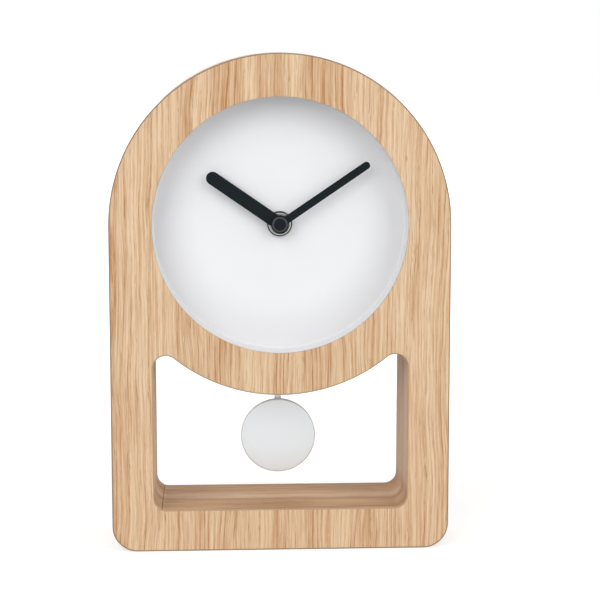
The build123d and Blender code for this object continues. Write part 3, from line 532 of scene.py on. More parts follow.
class Nodes:
    """A node tree, with short calls that add nodes and set or link their inputs."""

    def __init__(self, tree, prefix):
        self.tree, self.prefix = tree, prefix

    def feed(self, node, inputs):
        """Sets or links a node's inputs."""
        for key, value in inputs.items():
            if isinstance(value, bpy.types.NodeSocket):
                self.tree.links.new(value, node.inputs[key])
            else:
                node.inputs[key].default_value = value
        return node

    def add(self, kind, inputs, **settings):
        """A node with its settings, and its inputs set or linked."""
        node = self.tree.nodes.new(kind if "Node" in kind else self.prefix + kind)
        for key, value in settings.items():
            setattr(node, key, value)
        return self.feed(node, inputs)

    def sum(self, operation, *values):
        """The result of a Math node."""
        return self.add("ShaderNodeMath", dict(enumerate(values)), operation=operation).outputs[0]

    def scaled(self, value, factor):
        """A value times a factor."""
        return self.sum("MULTIPLY", value, factor)

    def plus(self, value, factor, base):
        """A value times a factor, on top of another value."""
        return self.sum("MULTIPLY_ADD", value, factor, base)


class Tree(Nodes):
    """A Geometry Nodes tree with named inputs, each given with its kind."""

    def __init__(self, name, **inputs):
        super().__init__(bpy.data.node_groups.new(name, "GeometryNodeTree"), "GeometryNode")
        sockets = self.tree.interface
        for label, kind in {"Geometry": "Geometry", **inputs, "Material": "Material"}.items():
            sockets.new_socket(label, in_out="INPUT", socket_type=f"NodeSocket{kind}")
        sockets.new_socket("Geometry", in_out="OUTPUT", socket_type="NodeSocketGeometry")
        self.inputs = self.add("NodeGroupInput", {}).outputs

    def along(self, axis, distance):
        """A vector along one axis."""
        return self.add("ShaderNodeCombineXYZ", {axis: distance}).outputs[0]

    def copies(self, points, shape, **inputs):
        """One instance of a shape on each point."""
        settings = {"Points": points, "Instance": shape, **inputs}
        return self.add("InstanceOnPoints", settings).outputs[0]

    def finish(self, copies):
        """Joins the copies to the object's own mesh and ends the tree."""
        joined = self.add("JoinGeometry", {})
        for part in (self.inputs["Geometry"], copies):
            self.tree.links.new(part, joined.inputs[0])
        real = self.add("RealizeInstances", {"Geometry": joined.outputs[0]}).outputs[0]
        painted = {"Geometry": real, "Material": self.inputs["Material"]}
        self.add("NodeGroupOutput", {0: self.add("SetMaterial", painted).outputs[0]})
        return self.tree


def turns_tree():
    """Equal turns of wire or thread along an axis, each a rounded rectangle."""
    lengths = dict.fromkeys(("Pitch", "Width", "Height", "Corner", "Wire"), "Float")
    tree = Tree("Turns along an axis", Count="Int", **lengths, Start="Vector", Turn="Vector")
    size = tree.inputs
    outline = tree.add("CurvePrimitiveQuadrilateral", {0: size["Width"], 1: size["Height"]})
    corner = {"Curve": outline.outputs[0], "Radius": size["Corner"], "Count": 12}
    soft = tree.add("FilletCurve", corner, mode="POLY")
    section = tree.add("CurvePrimitiveCircle", {"Radius": size["Wire"], "Resolution": 6})
    sweep = {"Curve": soft.outputs[0], "Profile Curve": section.outputs[0]}
    turn = tree.add("CurveToMesh", sweep).outputs[0]
    row = {"Count": size["Count"], "Offset": tree.along("Z", size["Pitch"])}
    copies = tree.copies(tree.add("MeshLine", row).outputs[0], turn)
    moved = {"Geometry": copies, "Translation": size["Start"], "Rotation": size["Turn"]}
    return tree.finish(tree.add("Transform", moved).outputs[0])


def grip_tree():
    """Half-round ribs round a knob whose axis runs from front to back."""
    lengths = dict.fromkeys(("Radius", "Rib", "Length"), "Float")
    tree = Tree("Ribs round a knob", Count="Int", **lengths, Centre="Vector")
    size = tree.inputs
    points = tree.add("MeshCircle", {"Vertices": size["Count"], "Radius": size["Radius"]})
    rib = {"Radius": size["Rib"], "Depth": size["Length"], "Vertices": 12}
    copies = tree.copies(points.outputs[0], tree.add("MeshCylinder", rib).outputs[0])
    moved = {"Geometry": copies, "Translation": size["Centre"], "Rotation": (radians(90), 0, 0)}
    return tree.finish(tree.add("Transform", moved).outputs[0])


def row_tree():
    """A row of half-round ribs on a flat face, each lying along X."""
    lengths = dict.fromkeys(("Spacing", "Length", "Rib"), "Float")
    tree = Tree("Ribs in a row", Count="Int", **lengths, First="Vector")
    size = tree.inputs
    start, end = (tree.along("X", tree.scaled(size["Length"], side)) for side in (-0.5, 0.5))
    line = tree.add("CurvePrimitiveLine", {"Start": start, "End": end})
    section = tree.add("CurvePrimitiveCircle", {"Radius": size["Rib"], "Resolution": 16})
    sweep = {"Curve": line.outputs[0], "Profile Curve": section.outputs[0], "Fill Caps": True}
    rib = tree.add("CurveToMesh", sweep).outputs[0]
    row = {"Count": size["Count"], "Start Location": size["First"]}
    row["Offset"] = tree.along("Z", size["Spacing"])
    return tree.finish(tree.copies(tree.add("MeshLine", row).outputs[0], rib))


def screws_tree():
    """One screw on each point, turned about its own axis by the point's turn."""
    tree = Tree("Screws on posts", Screw="Object")
    screw = tree.add("ObjectInfo", {"Object": tree.inputs["Screw"]}).outputs["Geometry"]
    turn = tree.add("InputNamedAttribute", {"Name": "turn"}, data_type="FLOAT").outputs[0]
    return tree.finish(tree.copies(tree.inputs["Geometry"], screw, Rotation=tree.along("Y", turn)))


def repeated(name, core, tree, finish, **inputs):
    """The plain mesh that a tree makes of a core mesh, with the tree's inputs set by name."""
    maker = linked(name + "_maker", core)
    modifier = maker.modifiers.new("Copies", "NODES")
    modifier.node_group = tree
    inputs["Material"] = finish
    for item in tree.interface.items_tree:
        if item.in_out == "INPUT" and item.name in inputs:
            modifier[item.identifier] = inputs[item.name]
    return baked(maker)


def round_turns(name, core, finish, axis, first, count, pitch, radius, wire):
    """A turned core with round turns of wire or thread along its axis, from front to back."""
    across = 2 * (radius - wire)
    return repeated(
        name,
        core,
        turns_tree(),
        finish,
        Count=count,
        Pitch=pitch,
        Width=across,
        Height=across,
        Corner=across / 2,
        Wire=wire,
        Start=(axis[0], first, axis[1]),
        Turn=(radians(-90), 0, 0),
    )


# Finishes


class Finish(Nodes):
    """One material's nodes, with short calls for those that the finishes share."""

    def __init__(self, name, colour, roughness, **sockets):
        self.roughness = roughness
        self.material = bpy.data.materials.new(name)
        self.material.use_nodes = True
        self.material.diffuse_color = (*colour, 1)
        super().__init__(self.material.node_tree, "ShaderNode")
        self.shader = self.tree.nodes["Principled BSDF"]
        self.feed(self.shader, {"Base Color": (*colour, 1), "Roughness": roughness, **sockets})

    def spot(self):
        """The place on the object in millimetres, as x, y and z."""
        here = self.add("TexCoord", {}).outputs["Object"]
        scaled = self.add("VectorMath", {0: here, "Scale": 1 / MM}, operation="SCALE")
        return self.add("SeparateXYZ", {0: scaled.outputs[0]}).outputs

    def radius(self, axis):
        """The distance in millimetres from an axis along Y, given by its x and z in metres."""
        x, _, z = self.spot()
        across = self.sum("SUBTRACT", x, axis[0] / MM)
        up = self.sum("SUBTRACT", z, axis[1] / MM)
        return self.sum("SQRT", self.plus(across, across, self.sum("POWER", up, 2.0)))

    def noise(self, x, y, z=0.0, detail=2.0, roughness=0.5):
        """Noise at a place whose parts are already scaled."""
        at = self.add("CombineXYZ", {0: x, 1: y, 2: z}).outputs[0]
        settings = {"Vector": at, "Scale": 1.0, "Detail": detail, "Roughness": roughness}
        return self.add("TexNoise", settings).outputs[0]

    def spots(self, scale, detail, roughness=0.5):
        """Even noise, with its scale in spots per millimetre."""
        parts = [self.scaled(part, scale) for part in self.spot()]
        return self.noise(*parts, detail=detail, roughness=roughness)

    def span(self, value, start, end, **settings):
        """How far a value has come from a start to an end, between 0 and 1."""
        return self.add("MapRange", {0: value, 1: start, 2: end}, **settings).outputs[0]

    def ramp(self, factor, *stops):
        """A colour ramp through stops of position and colour."""
        node = self.add("ValToRGB", {0: factor})
        elements = node.color_ramp.elements
        elements.remove(elements[1])
        elements[0].position = stops[0][0]
        elements[0].color = (*stops[0][1], 1)
        for position, colour in stops[1:]:
            elements.new(position).color = (*colour, 1)
        return node.outputs[0]

    def level(self, factor, *stops):
        """A ramp of plain levels."""
        grey = self.ramp(factor, *((at, (value,) * 3) for at, value in stops))
        return self.add("SeparateColor", {0: grey}).outputs[0]

    def mix(self, factor, first, second):
        """A worked-out colour, mixed with a plain one."""
        node = self.add("Mix", {0: factor, 6: first, 7: (*second, 1)}, data_type="RGBA")
        return node.outputs[2]

    def show(self, colour, wear, height, spread, relief):
        """Links the colour, a roughness that spreads about its mean, and the relief in millimetres."""
        roughness = self.plus(wear, spread, self.roughness - spread / 2)
        bump = self.add("Bump", {"Height": height, "Distance": relief * MM}).outputs[0]
        self.feed(self.shader, {"Base Color": colour, "Roughness": roughness, "Normal": bump})
        return self.material


def shade(colour, factor):
    """A colour made lighter or darker."""
    return tuple(min(1.0, v * factor) for v in colour)


def oak(name, light, dark, pore, grain, cut_edge=None, pale=None):
    """Open-grain veneer, with its grain up the case, level along the base or along a band.

    A paler tone lies in a streak along a band's middle, with a darker line in front of the
    streak, and as painted light on the band's uprights above the rail.
    """
    case = look("case")
    wood = Finish(name, light, 0.6, **{SPECULAR: 0.18})
    scaled, plus = wood.scaled, wood.plus
    x, y, z = wood.spot()
    if grain == "band":
        run = wood.add("Attribute", {}, attribute_name="along").outputs["Fac"]
        across, along = y, scaled(run, 1 / MM)
    else:
        across, along = {"up": (x, z), "level": (y, x)}[grain]

    def layer(key):
        """The noise of one layer of the grain."""
        over, down, seed, detail, roughness = GRAIN[key]
        return wood.noise(scaled(across, over), scaled(along, down), seed, detail, roughness)

    bend_width, wave_width, unevenness, rings_per_mm = 9.0, 2.2, 8.0, 0.3
    across = plus(layer("bend"), bend_width, across)
    wave = layer("wave")
    across = plus(wave, wave_width, across)
    rings = wood.sum("FRACT", plus(layer("pace"), unevenness, scaled(across, rings_per_mm)))
    growth = wood.level(rings, (0.0, 0.05), (0.5, 0.2), (0.82, 0.8), (0.92, 1.0), (1.0, 0.05))
    bands = wood.level(layer("bands"), (0.34, 0.0), (0.66, 1.0))
    lines = wood.level(layer("lines"), (0.42, 0.0), (0.68, 1.0))
    fibres = wood.level(layer("fibres"), (0.3, 0.0), (0.7, 1.0))
    vessels = wood.level(layer("vessels"), (0.6, 0.0), (0.7, 1.0))
    vessels = wood.sum("MULTIPLY", vessels, plus(growth, 0.5, 0.12))
    broken = wood.sum("MULTIPLY", growth, plus(fibres, 1.1, 0.4))
    tint = wood.sum("MULTIPLY", broken, plus(bands, 0.22, 0.16))
    for value, part in ((bands, 0.2), (lines, 0.36), (fibres, 0.28)):
        tint = plus(value, part, tint)
    colour = wood.ramp(tint, (0.13, light), (0.95, dark))
    # The paler tone serves the streak and the painted light on the uprights.
    if pale:
        depth = plus(plus(wave, 5.0, y), 0.02, 0.5)
        streak = wood.level(depth, (0.46, 0.0), (0.54, 0.5), (0.6, 0.5), (0.7, 0.0))
        rail = case.frame_width / MM
        # Painted light: the band grows paler on its uprights, above the rail, as if more light fell on
        # them.
        painted_upright_light = scaled(wood.span(z, rail + 2, rail + 12), 0.75)
        colour = wood.mix(wood.sum("MAXIMUM", streak, painted_upright_light), colour, pale)
        line = wood.level(depth, (0.38, 0.0), (0.44, 0.3), (0.46, 0.3), (0.5, 0.0))
        colour = wood.mix(line, colour, dark)
    colour = wood.mix(vessels, colour, pore)
    if cut_edge:
        flat = (BACK - case.rounding) / MM
        edge = wood.sum("GREATER_THAN", wood.sum("ABSOLUTE", y), flat)
        colour = wood.mix(scaled(edge, 0.9), colour, cut_edge)
    height = wood.sum("SUBTRACT", scaled(fibres, 0.4), vessels)
    return wood.show(colour, fibres, height, spread=0.2, relief=0.06)


def moulded(name, colour, rim=None, **sockets):
    """A plastic, rubber or paint with a fine even texture.

    A rim gives painted shade: a second colour, a middle, and the radii where it begins and where it is
    full.
    """
    roughness, grain, relief, variation = MOULDED[name]
    skin = Finish(name, colour, roughness, **sockets)
    fine = skin.spots(grain, 3.0, 0.6)
    broad = skin.spots(grain * 0.06, 2.0)
    both = skin.plus(fine, 0.5, skin.scaled(broad, 0.5))
    tint = skin.ramp(both, (0.3, shade(colour, 1 - variation)), (0.7, shade(colour, 1 + variation)))
    if rim:
        outer, middle, start, end = rim
        reach = (skin.radius(middle), start / MM, end / MM)
        tint = skin.mix(skin.span(*reach, interpolation_type="SMOOTHSTEP"), tint, outer)
    return skin.show(tint, both, fine, spread=0.16, relief=relief)


def metal(name, colour, roughness, axis=None):
    """A metal with turning marks round an axis, or with a fine drawn grain."""
    skin = Finish(name, colour, roughness, Metallic=1.0)
    x, y, z = skin.spot()
    if axis:
        marks = skin.noise(skin.scaled(skin.radius(axis), 7.0), skin.scaled(y, 7.0), detail=3.0)
    else:
        marks = skin.noise(skin.scaled(x, 0.8), skin.scaled(y, 6.0), skin.scaled(z, 6.0))
    tint = skin.ramp(skin.spots(0.35, 3.0), (0.3, shade(colour, 0.88)), (0.7, colour))
    return skin.show(tint, marks, marks, spread=0.2, relief=0.006)


def board(name, colour):
    """Raw fibreboard: pressed flecks of light and dark fibre."""
    skin = Finish(name, colour, 0.82, **{SPECULAR: 0.2})
    flecks = skin.spots(1.1, 5.0, 0.7)
    cloud = skin.spots(0.08, 2.0)
    both = skin.plus(flecks, 0.75, skin.scaled(cloud, 0.25))
    stops = ((at, shade(colour, factor)) for at, factor in ((0.3, 0.7), (0.5, 1), (0.72, 1.25)))
    return skin.show(skin.ramp(both, *stops), flecks, flecks, spread=0.2, relief=0.08)


# Pieces


def with_normals(centre, radius, start, end, steps, into=1):
    """Points on an arc with their directions, away from its middle or into it."""
    return [
        ((x, z), (into * (x - centre[0]) / radius, into * (z - centre[1]) / radius))
        for x, z in arc(centre, radius, start, end, steps)
    ]


def case_arcs(inset):
    """The outline of the case from the left of the base, over the arch, to the right of it."""
    corner = look("case").base_corner
    low, radius = HALF_WIDTH - corner, corner - inset
    return (
        with_normals((-low, corner), radius, 270, 180, BASE_STEPS)
        + with_normals(SHAFT, HALF_WIDTH - inset, 180, 0, ARCH_STEPS)
        + with_normals((low, corner), radius, 0, -90, BASE_STEPS)
    )


def window_arcs(grow):
    """The window's outline with directions into the wood, from its seam clockwise round."""
    case = look("case")
    corner = case.window_corner
    inner = HALF_WIDTH - case.frame_width - corner
    low = case.frame_width + corner
    rise = sqrt((HALF_WIDTH + corner) ** 2 - inner**2)
    high = SHAFT[1] - rise
    lean = degrees(atan2(rise, inner))
    slot = degrees(asin(case.slot_half / HALF_WIDTH))
    radius, under = corner + grow, HALF_WIDTH - grow
    seam, gap = degrees(case.seam_angle), degrees(case.seam / 2 / radius)
    return (
        with_normals((-inner, low), radius, seam - gap, 180, LOW_STEPS)
        + with_normals((-inner, high), radius, 180, lean, HIGH_STEPS)
        + with_normals(SHAFT, under, 180 + lean, 270 - slot, RING_STEPS, -1)[1:]
        + with_normals(SHAFT, under, 270 - slot, 270 + slot, SLOT_STEPS, -1)[1:]
        + with_normals(SHAFT, under, 270 + slot, 360 - lean, RING_STEPS, -1)[1:]
        + with_normals((inner, high), radius, 180 - lean, 0, HIGH_STEPS)[1:]
        + with_normals((inner, low), radius, 0, -90, LOW_STEPS)
        + with_normals((-inner, low), radius, 270, seam + gap, LOW_STEPS // 3)
    )


class CLOCK_OT_case_boards(bpy.types.Operator):
    """Front and back veneers, and the boards and base strip that carry them"""

    bl_idname = "clock.case_boards"
    bl_label = "Case boards"

    def execute(self, context):
        case = look("case")
        grain = oak("oak front", case.light, case.dark, case.pore, "up")
        outline = [point for point, _ in case_arcs(case.veneer)]
        window = [point for point, _ in window_arcs(case.veneer)]
        dial = HALF_WIDTH - case.frame_width
        for name, node, hole, depths in (
            ("front_face", "front_veneer", dial, (FRONT, FRONT + case.veneer)),
            ("back_face", "back_veneer", case.rear_room, (BACK - case.veneer, BACK)),
        ):
            loops = [outline, ring(SHAFT, hole, steps=160), window]
            stand_in(name, node, plate(name, loops, *depths, case.joint_ease), grain)
        base = oak("oak base", case.light, case.dark, case.pore, "level", case.cut_edge)
        dress(base, "base_veneer")
        dress(board("fibreboard", case.core), "front_layer", "dial_board", "rear_layer")
        return {"FINISHED"}


class CLOCK_OT_edge_band(bpy.types.Operator):
    """Veneer strip round the sides and the arch, with its grain along the strip"""

    bl_idname = "clock.edge_band"
    bl_label = "Edge band"

    def execute(self, context):
        case = look("case")
        outer, inner = (0, case.rounding), (-case.veneer, case.joint_ease)
        corners = ((outer, FRONT), (outer, BACK), (inner, BACK), (inner, FRONT))
        section = eased([(offset, depth, ease) for (offset, ease), depth in corners])
        grain = oak("oak edge", case.light, case.dark, case.pore, "band", case.cut_edge)
        stand_in("edge_band", "edge_veneer", swept("edge_band", case_arcs(0), section), grain)
        return {"FINISHED"}


class CLOCK_OT_window_lining(bpy.types.Operator):
    """Veneer strip round the inside of the window, with its seam and the slot for the rod"""

    bl_idname = "clock.window_lining"
    bl_label = "Window lining"

    def execute(self, context):
        case = look("case")
        inner, outer = (0, case.rounding), (case.veneer, case.joint_ease)
        corners = ((inner, BACK), (inner, FRONT), (outer, FRONT), (outer, BACK))
        loop = eased([(offset, depth, ease) for (offset, ease), depth in corners])
        turn = len(loop) // len(corners)
        section = (
            loop[:turn]
            + [(0, case.slot_back), (0, case.slot_front)]
            + loop[turn : 3 * turn]
            + [(case.veneer, case.slot_front), (case.veneer, case.slot_back)]
            + loop[3 * turn :]
        )
        inside, outside = (turn, turn + 1), (3 * turn + 2, 3 * turn + 3)
        first = LOW_STEPS + HIGH_STEPS + RING_STEPS + 1
        hole = ((first, first + SLOT_STEPS), inside, outside)
        tones = (case.lining_light, case.lining_dark, case.pore)
        grain = oak("oak lining", *tones, "band", case.lining_edge, case.lining_streak_and_painted_light)
        mesh = swept("lining_strip", window_arcs(0), section, hole)
        stand_in("lining_strip", "window_lining", mesh, grain)
        return {"FINISHED"}


class CLOCK_OT_dial_dish(bpy.types.Operator):
    """White dish with a rounded rim and a cove at the foot of its wall"""

    bl_idname = "clock.dial_dish"
    bl_label = "Dial dish"

    def execute(self, context):
        dial = look("dial")
        low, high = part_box("dial_dish")
        play = 0.02 * MM
        radius = HALF_WIDTH - look("case").frame_width - play
        face = high.y - dial.floor
        corners = [
            (dial.hole, high.y, 0.1 * MM),
            (radius, high.y, 0.3 * MM),
            (radius, low.y, 0.05 * MM),
            (radius - dial.lip, low.y, 0.1 * MM),
            (radius - dial.wall, face, dial.rounding),
            (dial.hole, face, 0.2 * MM),
        ]
        # Painted shade: the white turns greyer by distance from a middle a little above the centre, so
        # it is greyest at the dish's foot.
        middle = (SHAFT[0], SHAFT[1] + dial.shade_lift)
        rim = (dial.painted_rim_shade, middle, dial.shade_reach, radius + dial.shade_lift)
        mesh = turned("dial_face", eased(corners, steps=10), SHAFT, steps=192)
        stand_in("dial_face", "dial_dish", mesh, moulded("dial white", dial.white, rim))
        return {"FINISHED"}


class CLOCK_OT_centre_nut(bpy.types.Operator):
    """Turned nut on the end of the threaded bush, with the gasket behind the dial board"""

    bl_idname = "clock.centre_nut"
    bl_label = "Centre nut and bush"

    def nut(self, dial):
        """The nut, with a second, darker finish on its chamfer and in the ring cut in its face, as
        painted shade.
        """
        low, high, outer, _ = round_box("mounting_nut")
        bore, soft, fine = 4.02 * MM, 0.1 * MM, 0.03 * MM
        corners = [
            (bore, high.y, 0.05 * MM),
            (outer, high.y, soft),
            (outer, low.y + dial.nut_chamfer, soft),
            (outer - dial.nut_chamfer, low.y, soft),
        ]
        for inset, depth in ((1.1, 0), (1.16, dial.groove), (1.28, dial.groove), (1.34, 0)):
            corners.append((outer - inset * MM, low.y + depth, fine))
        corners.append((bore, low.y, 0.15 * MM))
        loop = eased(corners, steps=3)
        kinds = [int(depth > low.y + 0.05 * MM) for _, depth in loop]
        return turned("centre_nut", loop, SHAFT, steps=128, finishes=kinds)

    def bush(self, pitch, brass):
        """The flanged bush with its thread."""
        low, high, flange, _ = round_box("threaded_bush")
        bore, lead, run_in = 2.55 * MM, 0.3 * MM, 0.5 * MM
        radius = flange - 1.0 * MM
        core, lip = radius - 0.22 * MM, radius - 0.1 * MM
        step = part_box("movement_shell")[0].y + 0.4 * MM
        corners = [
            (bore, low.y, 0.1 * MM),
            (lip, low.y, 0.08 * MM),
            (lip, low.y + lead, 0.02 * MM),
            (core, low.y + run_in, 0.02 * MM),
            (core, step, 0.05 * MM),
            (flange, step, 0.1 * MM),
            (flange, high.y, 0.1 * MM),
            (bore, high.y, 0.1 * MM),
        ]
        wire, play = 0.2 * MM, 0.01 * MM
        first = low.y + run_in + wire
        count = int((step - first) / pitch)
        mesh = turned("thread_bush", eased(corners, steps=3), SHAFT)
        return round_turns(
            "thread_bush", mesh, brass, SHAFT, first, count, pitch, radius - play, wire
        )

    def execute(self, context):
        dial = look("dial")
        nickel = metal("turned nickel", dial.nickel, roughness=0.3, axis=SHAFT)
        # Painted shade: the nut's chamfer and groove take this darker nickel.
        dark = metal("dark nickel", dial.nut_shade_and_cap_glint, roughness=0.35, axis=SHAFT)
        brass = metal("turned brass", dial.brass, roughness=0.3, axis=SHAFT)
        stand_in("centre_nut", "mounting_nut", self.nut(dial), nickel, dark)
        stand_in("thread_bush", "threaded_bush", self.bush(dial.thread_pitch, brass))
        dress(brass, "minute_arbor", "friction_collar")
        dress(moulded("gasket rubber", srgb(38, 38, 38)), "gasket")
        return {"FINISHED"}


class CLOCK_OT_hands(bpy.types.Operator):
    """Black hour and minute hands with round ends, and the stepped cap over their hub"""

    bl_idname = "clock.hands"
    bl_label = "Hands and cap"

    def outline(self, turn, reach, width, hub):
        """A bar with a round end on a round hub, turned clockwise from twelve in degrees."""
        half = width / 2
        gap = degrees(asin(half / hub))
        shape = arc((reach - half, 0), half, -90, 90, steps=24)
        shape += arc((0, 0), hub, gap, 360 - gap, steps=64)
        c, s = cos(radians(turn)), sin(radians(turn))
        return [(SHAFT[0] + u * s + v * c, SHAFT[1] + u * c - v * s) for u, v in shape]

    def cap(self, step):
        """The cap, with a second finish on the step round its crown, lighter than the black, as a
        painted highlight.
        """
        low, high, radius, _ = round_box("hand_cap")
        crown, middle = radius - step, (low.y + high.y) / 2
        soft, crisp, hair = 0.22 * MM, 0.05 * MM, 0.0001 * MM
        corners = [
            (0, low.y, 0),
            (crown, low.y, soft),
            (crown, middle, crisp),
            (radius, middle, soft),
            (radius, high.y, crisp),
            (0, high.y, 0),
        ]
        loop = eased(corners, steps=5)
        # The hair leaves out points on the crown's own side, however they are rounded
        inner, side = crown + hair, high.y - 0.1 * MM
        kinds = [int(a[0] > inner and b[1] < side) for a, b in zip(loop, loop[1:])]
        return turned("cap", loop, SHAFT, finishes=kinds)

    def execute(self, context):
        dial = look("dial")
        black = moulded("hand black", dial.black, **{SPECULAR: 0.1})
        minute = (dial.time % 60 * 6, dial.minute_length, dial.minute_width)
        hour = (dial.time / 2 % 360, dial.hour_length, dial.hour_width)
        for name, node, bar, hole in (
            ("minute_bar", "minute_hand", minute, dial.minute_hole),
            ("hour_bar", "hour_hand", hour, dial.hour_hole),
        ):
            low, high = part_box(node)
            loops = [self.outline(*bar, dial.hub), ring(SHAFT, hole, steps=48)]
            stand_in(name, node, plate(name, loops, low.y, high.y, dial.hand_ease), black)
        # Painted highlight: a grey metal on the step round the cap's crown stands for the highlight on
        # its rounding.
        step = metal("cap ring", dial.nut_shade_and_cap_glint, roughness=0.4, axis=SHAFT)
        stand_in("cap", "hand_cap", self.cap(dial.cap_step), black, step)
        return {"FINISHED"}


class CLOCK_OT_movement_case(bpy.types.Operator):
    """Moulded housing and rear cover with their ribs, arrow and polarity marks"""

    bl_idname = "clock.movement_case"
    bl_label = "Movement housing"

    def marks(self):
        """Each mark's name and outline, and the depth of the face that it stands on."""
        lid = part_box("rear_cover")[1].y
        reach, width, first, last, tip = 7.0 * MM, 0.45 * MM, 60, 175, 42
        sweep = arc(KNOB_AXIS, reach + width, first, last, steps=40)
        sweep += arc(KNOB_AXIS, reach - width, last, first, steps=40)
        points = ((reach, tip), (reach + 3 * width, first), (reach - 3 * width, first))
        head = [arc(KNOB_AXIS, radius, turn, turn, steps=1)[0] for radius, turn in points]
        low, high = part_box("battery_cell")
        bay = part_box("movement_shell")[0].y + 1.2 * MM
        inset, lift, arm, bar = 6 * MM, 5 * MM, 2.0 * MM, 0.4 * MM
        up = (low.z + high.z) / 2 + lift
        left, right = low.x + inset - arm, low.x + inset + arm
        minus = [(left, up - bar), (right, up - bar), (right, up + bar), (left, up + bar)]
        return (
            ("set_arrow_sweep", sweep, lid),
            ("set_arrow_head", head, lid),
            ("plus_mark", cross((high.x - inset, up), arm, bar), bay),
            ("minus_mark", minus, bay),
        )

    def execute(self, context):
        movement = look("movement")
        black = moulded("housing black", movement.black)
        grey = moulded("mark grey", movement.mark_grey)
        for name, node in (("housing", "movement_shell"), ("rear_lid", "rear_cover")):
            stand_in(name, node, softened(node, movement.ease), black)
        low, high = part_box("rear_cover")
        ribs = repeated(
            "lid_ribs",
            bpy.data.meshes.new("lid_ribs"),
            row_tree(),
            black,
            Count=7,
            Spacing=2.2 * MM,
            Length=13 * MM,
            Rib=movement.mark_height,
            First=(low.x + 13.5 * MM, high.y, SHAFT[1] - 12 * MM),
        )
        place("lid_ribs", ribs, "case", "housing_black")
        sunk, ease = 0.1 * MM, 0.06 * MM
        for name, outline, face in self.marks():
            mesh = plate(name, [outline], face - sunk, face + movement.mark_height, ease, steps=2)
            place(name, mesh, "case", "housing_black", grey)
        return {"FINISHED"}


class CLOCK_OT_cover_screws(bpy.types.Operator):
    """Four small cross-head screws that hold the rear cover"""

    bl_idname = "clock.cover_screws"
    bl_label = "Cover screws"

    def one(self, head):
        """A screw at the origin, with its head towards the back."""
        bm = bmesh.new()
        ease, thick, shank, long, tip = 0.15 * MM, 0.7 * MM, 0.8 * MM, 5.2 * MM, 0.5 * MM
        profile = [(head - ease, 0), (head, -ease), (head, -thick), (shank, -thick)]
        profile += [(shank, -long), (shank * 0.4, -long - tip)]
        circles = [(ring((0, 0), radius, steps=32), depth) for radius, depth in profile]
        rings = [[bm.verts.new((x, depth, z)) for x, z in circle] for circle, depth in circles]
        for first, second in zip(rings, rings[1:]):
            stitch(bm, first, second)
        bm.faces.new(rings[-1])
        recess, taper = 0.35 * MM, 0.9
        outline = cross((0, 0), head * 0.72, 0.17 * MM)
        top = [bm.verts.new((x, 0, z)) for x, z in outline]
        floor = [bm.verts.new((x * taper, -recess, z * taper)) for x, z in outline]
        stitch(bm, top, floor)
        bm.faces.new(floor)
        rim = [bm.edges.get(pair) for loop in (rings[0], top) for pair in pairs(loop)]
        bmesh.ops.triangle_fill(bm, use_beauty=True, edges=rim)
        return outward(bm, "screw")

    def execute(self, context):
        head = look("movement").screw_head
        low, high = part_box("cover_screws")
        screw = linked("screw_maker", self.one(head))
        posts = bpy.data.meshes.new("posts")
        sides, heights = (low.x + head, high.x - head), (low.z + head, high.z - head)
        posts.from_pydata([(x, high.y, z) for x in sides for z in heights], [], [])
        recess_turns = (0.35, 1.1, 0.8, 0.1)
        turn = posts.attributes.new("turn", "FLOAT", "POINT")
        turn.data.foreach_set("value", recess_turns)
        steel = metal("screw steel", srgb(196, 196, 198), roughness=0.32)
        mesh = repeated("lid_screws", posts, screws_tree(), steel, Screw=screw)
        bpy.data.objects.remove(screw)
        stand_in("lid_screws", "cover_screws", mesh)
        return {"FINISHED"}


class CLOCK_OT_setting_knob(bpy.types.Operator):
    """Ribbed knob that sets the hands"""

    bl_idname = "clock.setting_knob"
    bl_label = "Setting knob"

    def execute(self, context):
        movement = look("movement")
        low, high, outer, _ = round_box("setting_knob")
        play, foot, ease = 0.01 * MM, 0.3 * MM, 0.15 * MM
        radius, dish = outer - movement.rib_radius - play, high.y - 0.5 * MM
        corners = [
            (0, low.y, 0),
            (radius, low.y, 0.2 * MM),
            (radius, high.y, 0.5 * MM),
            (radius - 1.1 * MM, high.y, ease),
            (radius - 1.5 * MM, dish, ease),
            (0, dish, 0),
        ]
        long = high.y - low.y - 1.0 * MM
        mesh = repeated(
            "grip_knob",
            turned("grip_knob", eased(corners), KNOB_AXIS, steps=64),
            grip_tree(),
            moulded("knob black", shade(movement.black, 1.3)),
            Count=movement.knob_ribs,
            Radius=radius,
            Rib=movement.rib_radius,
            Length=long,
            Centre=(KNOB_AXIS[0], low.y + foot + long / 2, KNOB_AXIS[1]),
        )
        stand_in("grip_knob", "setting_knob", mesh)
        return {"FINISHED"}


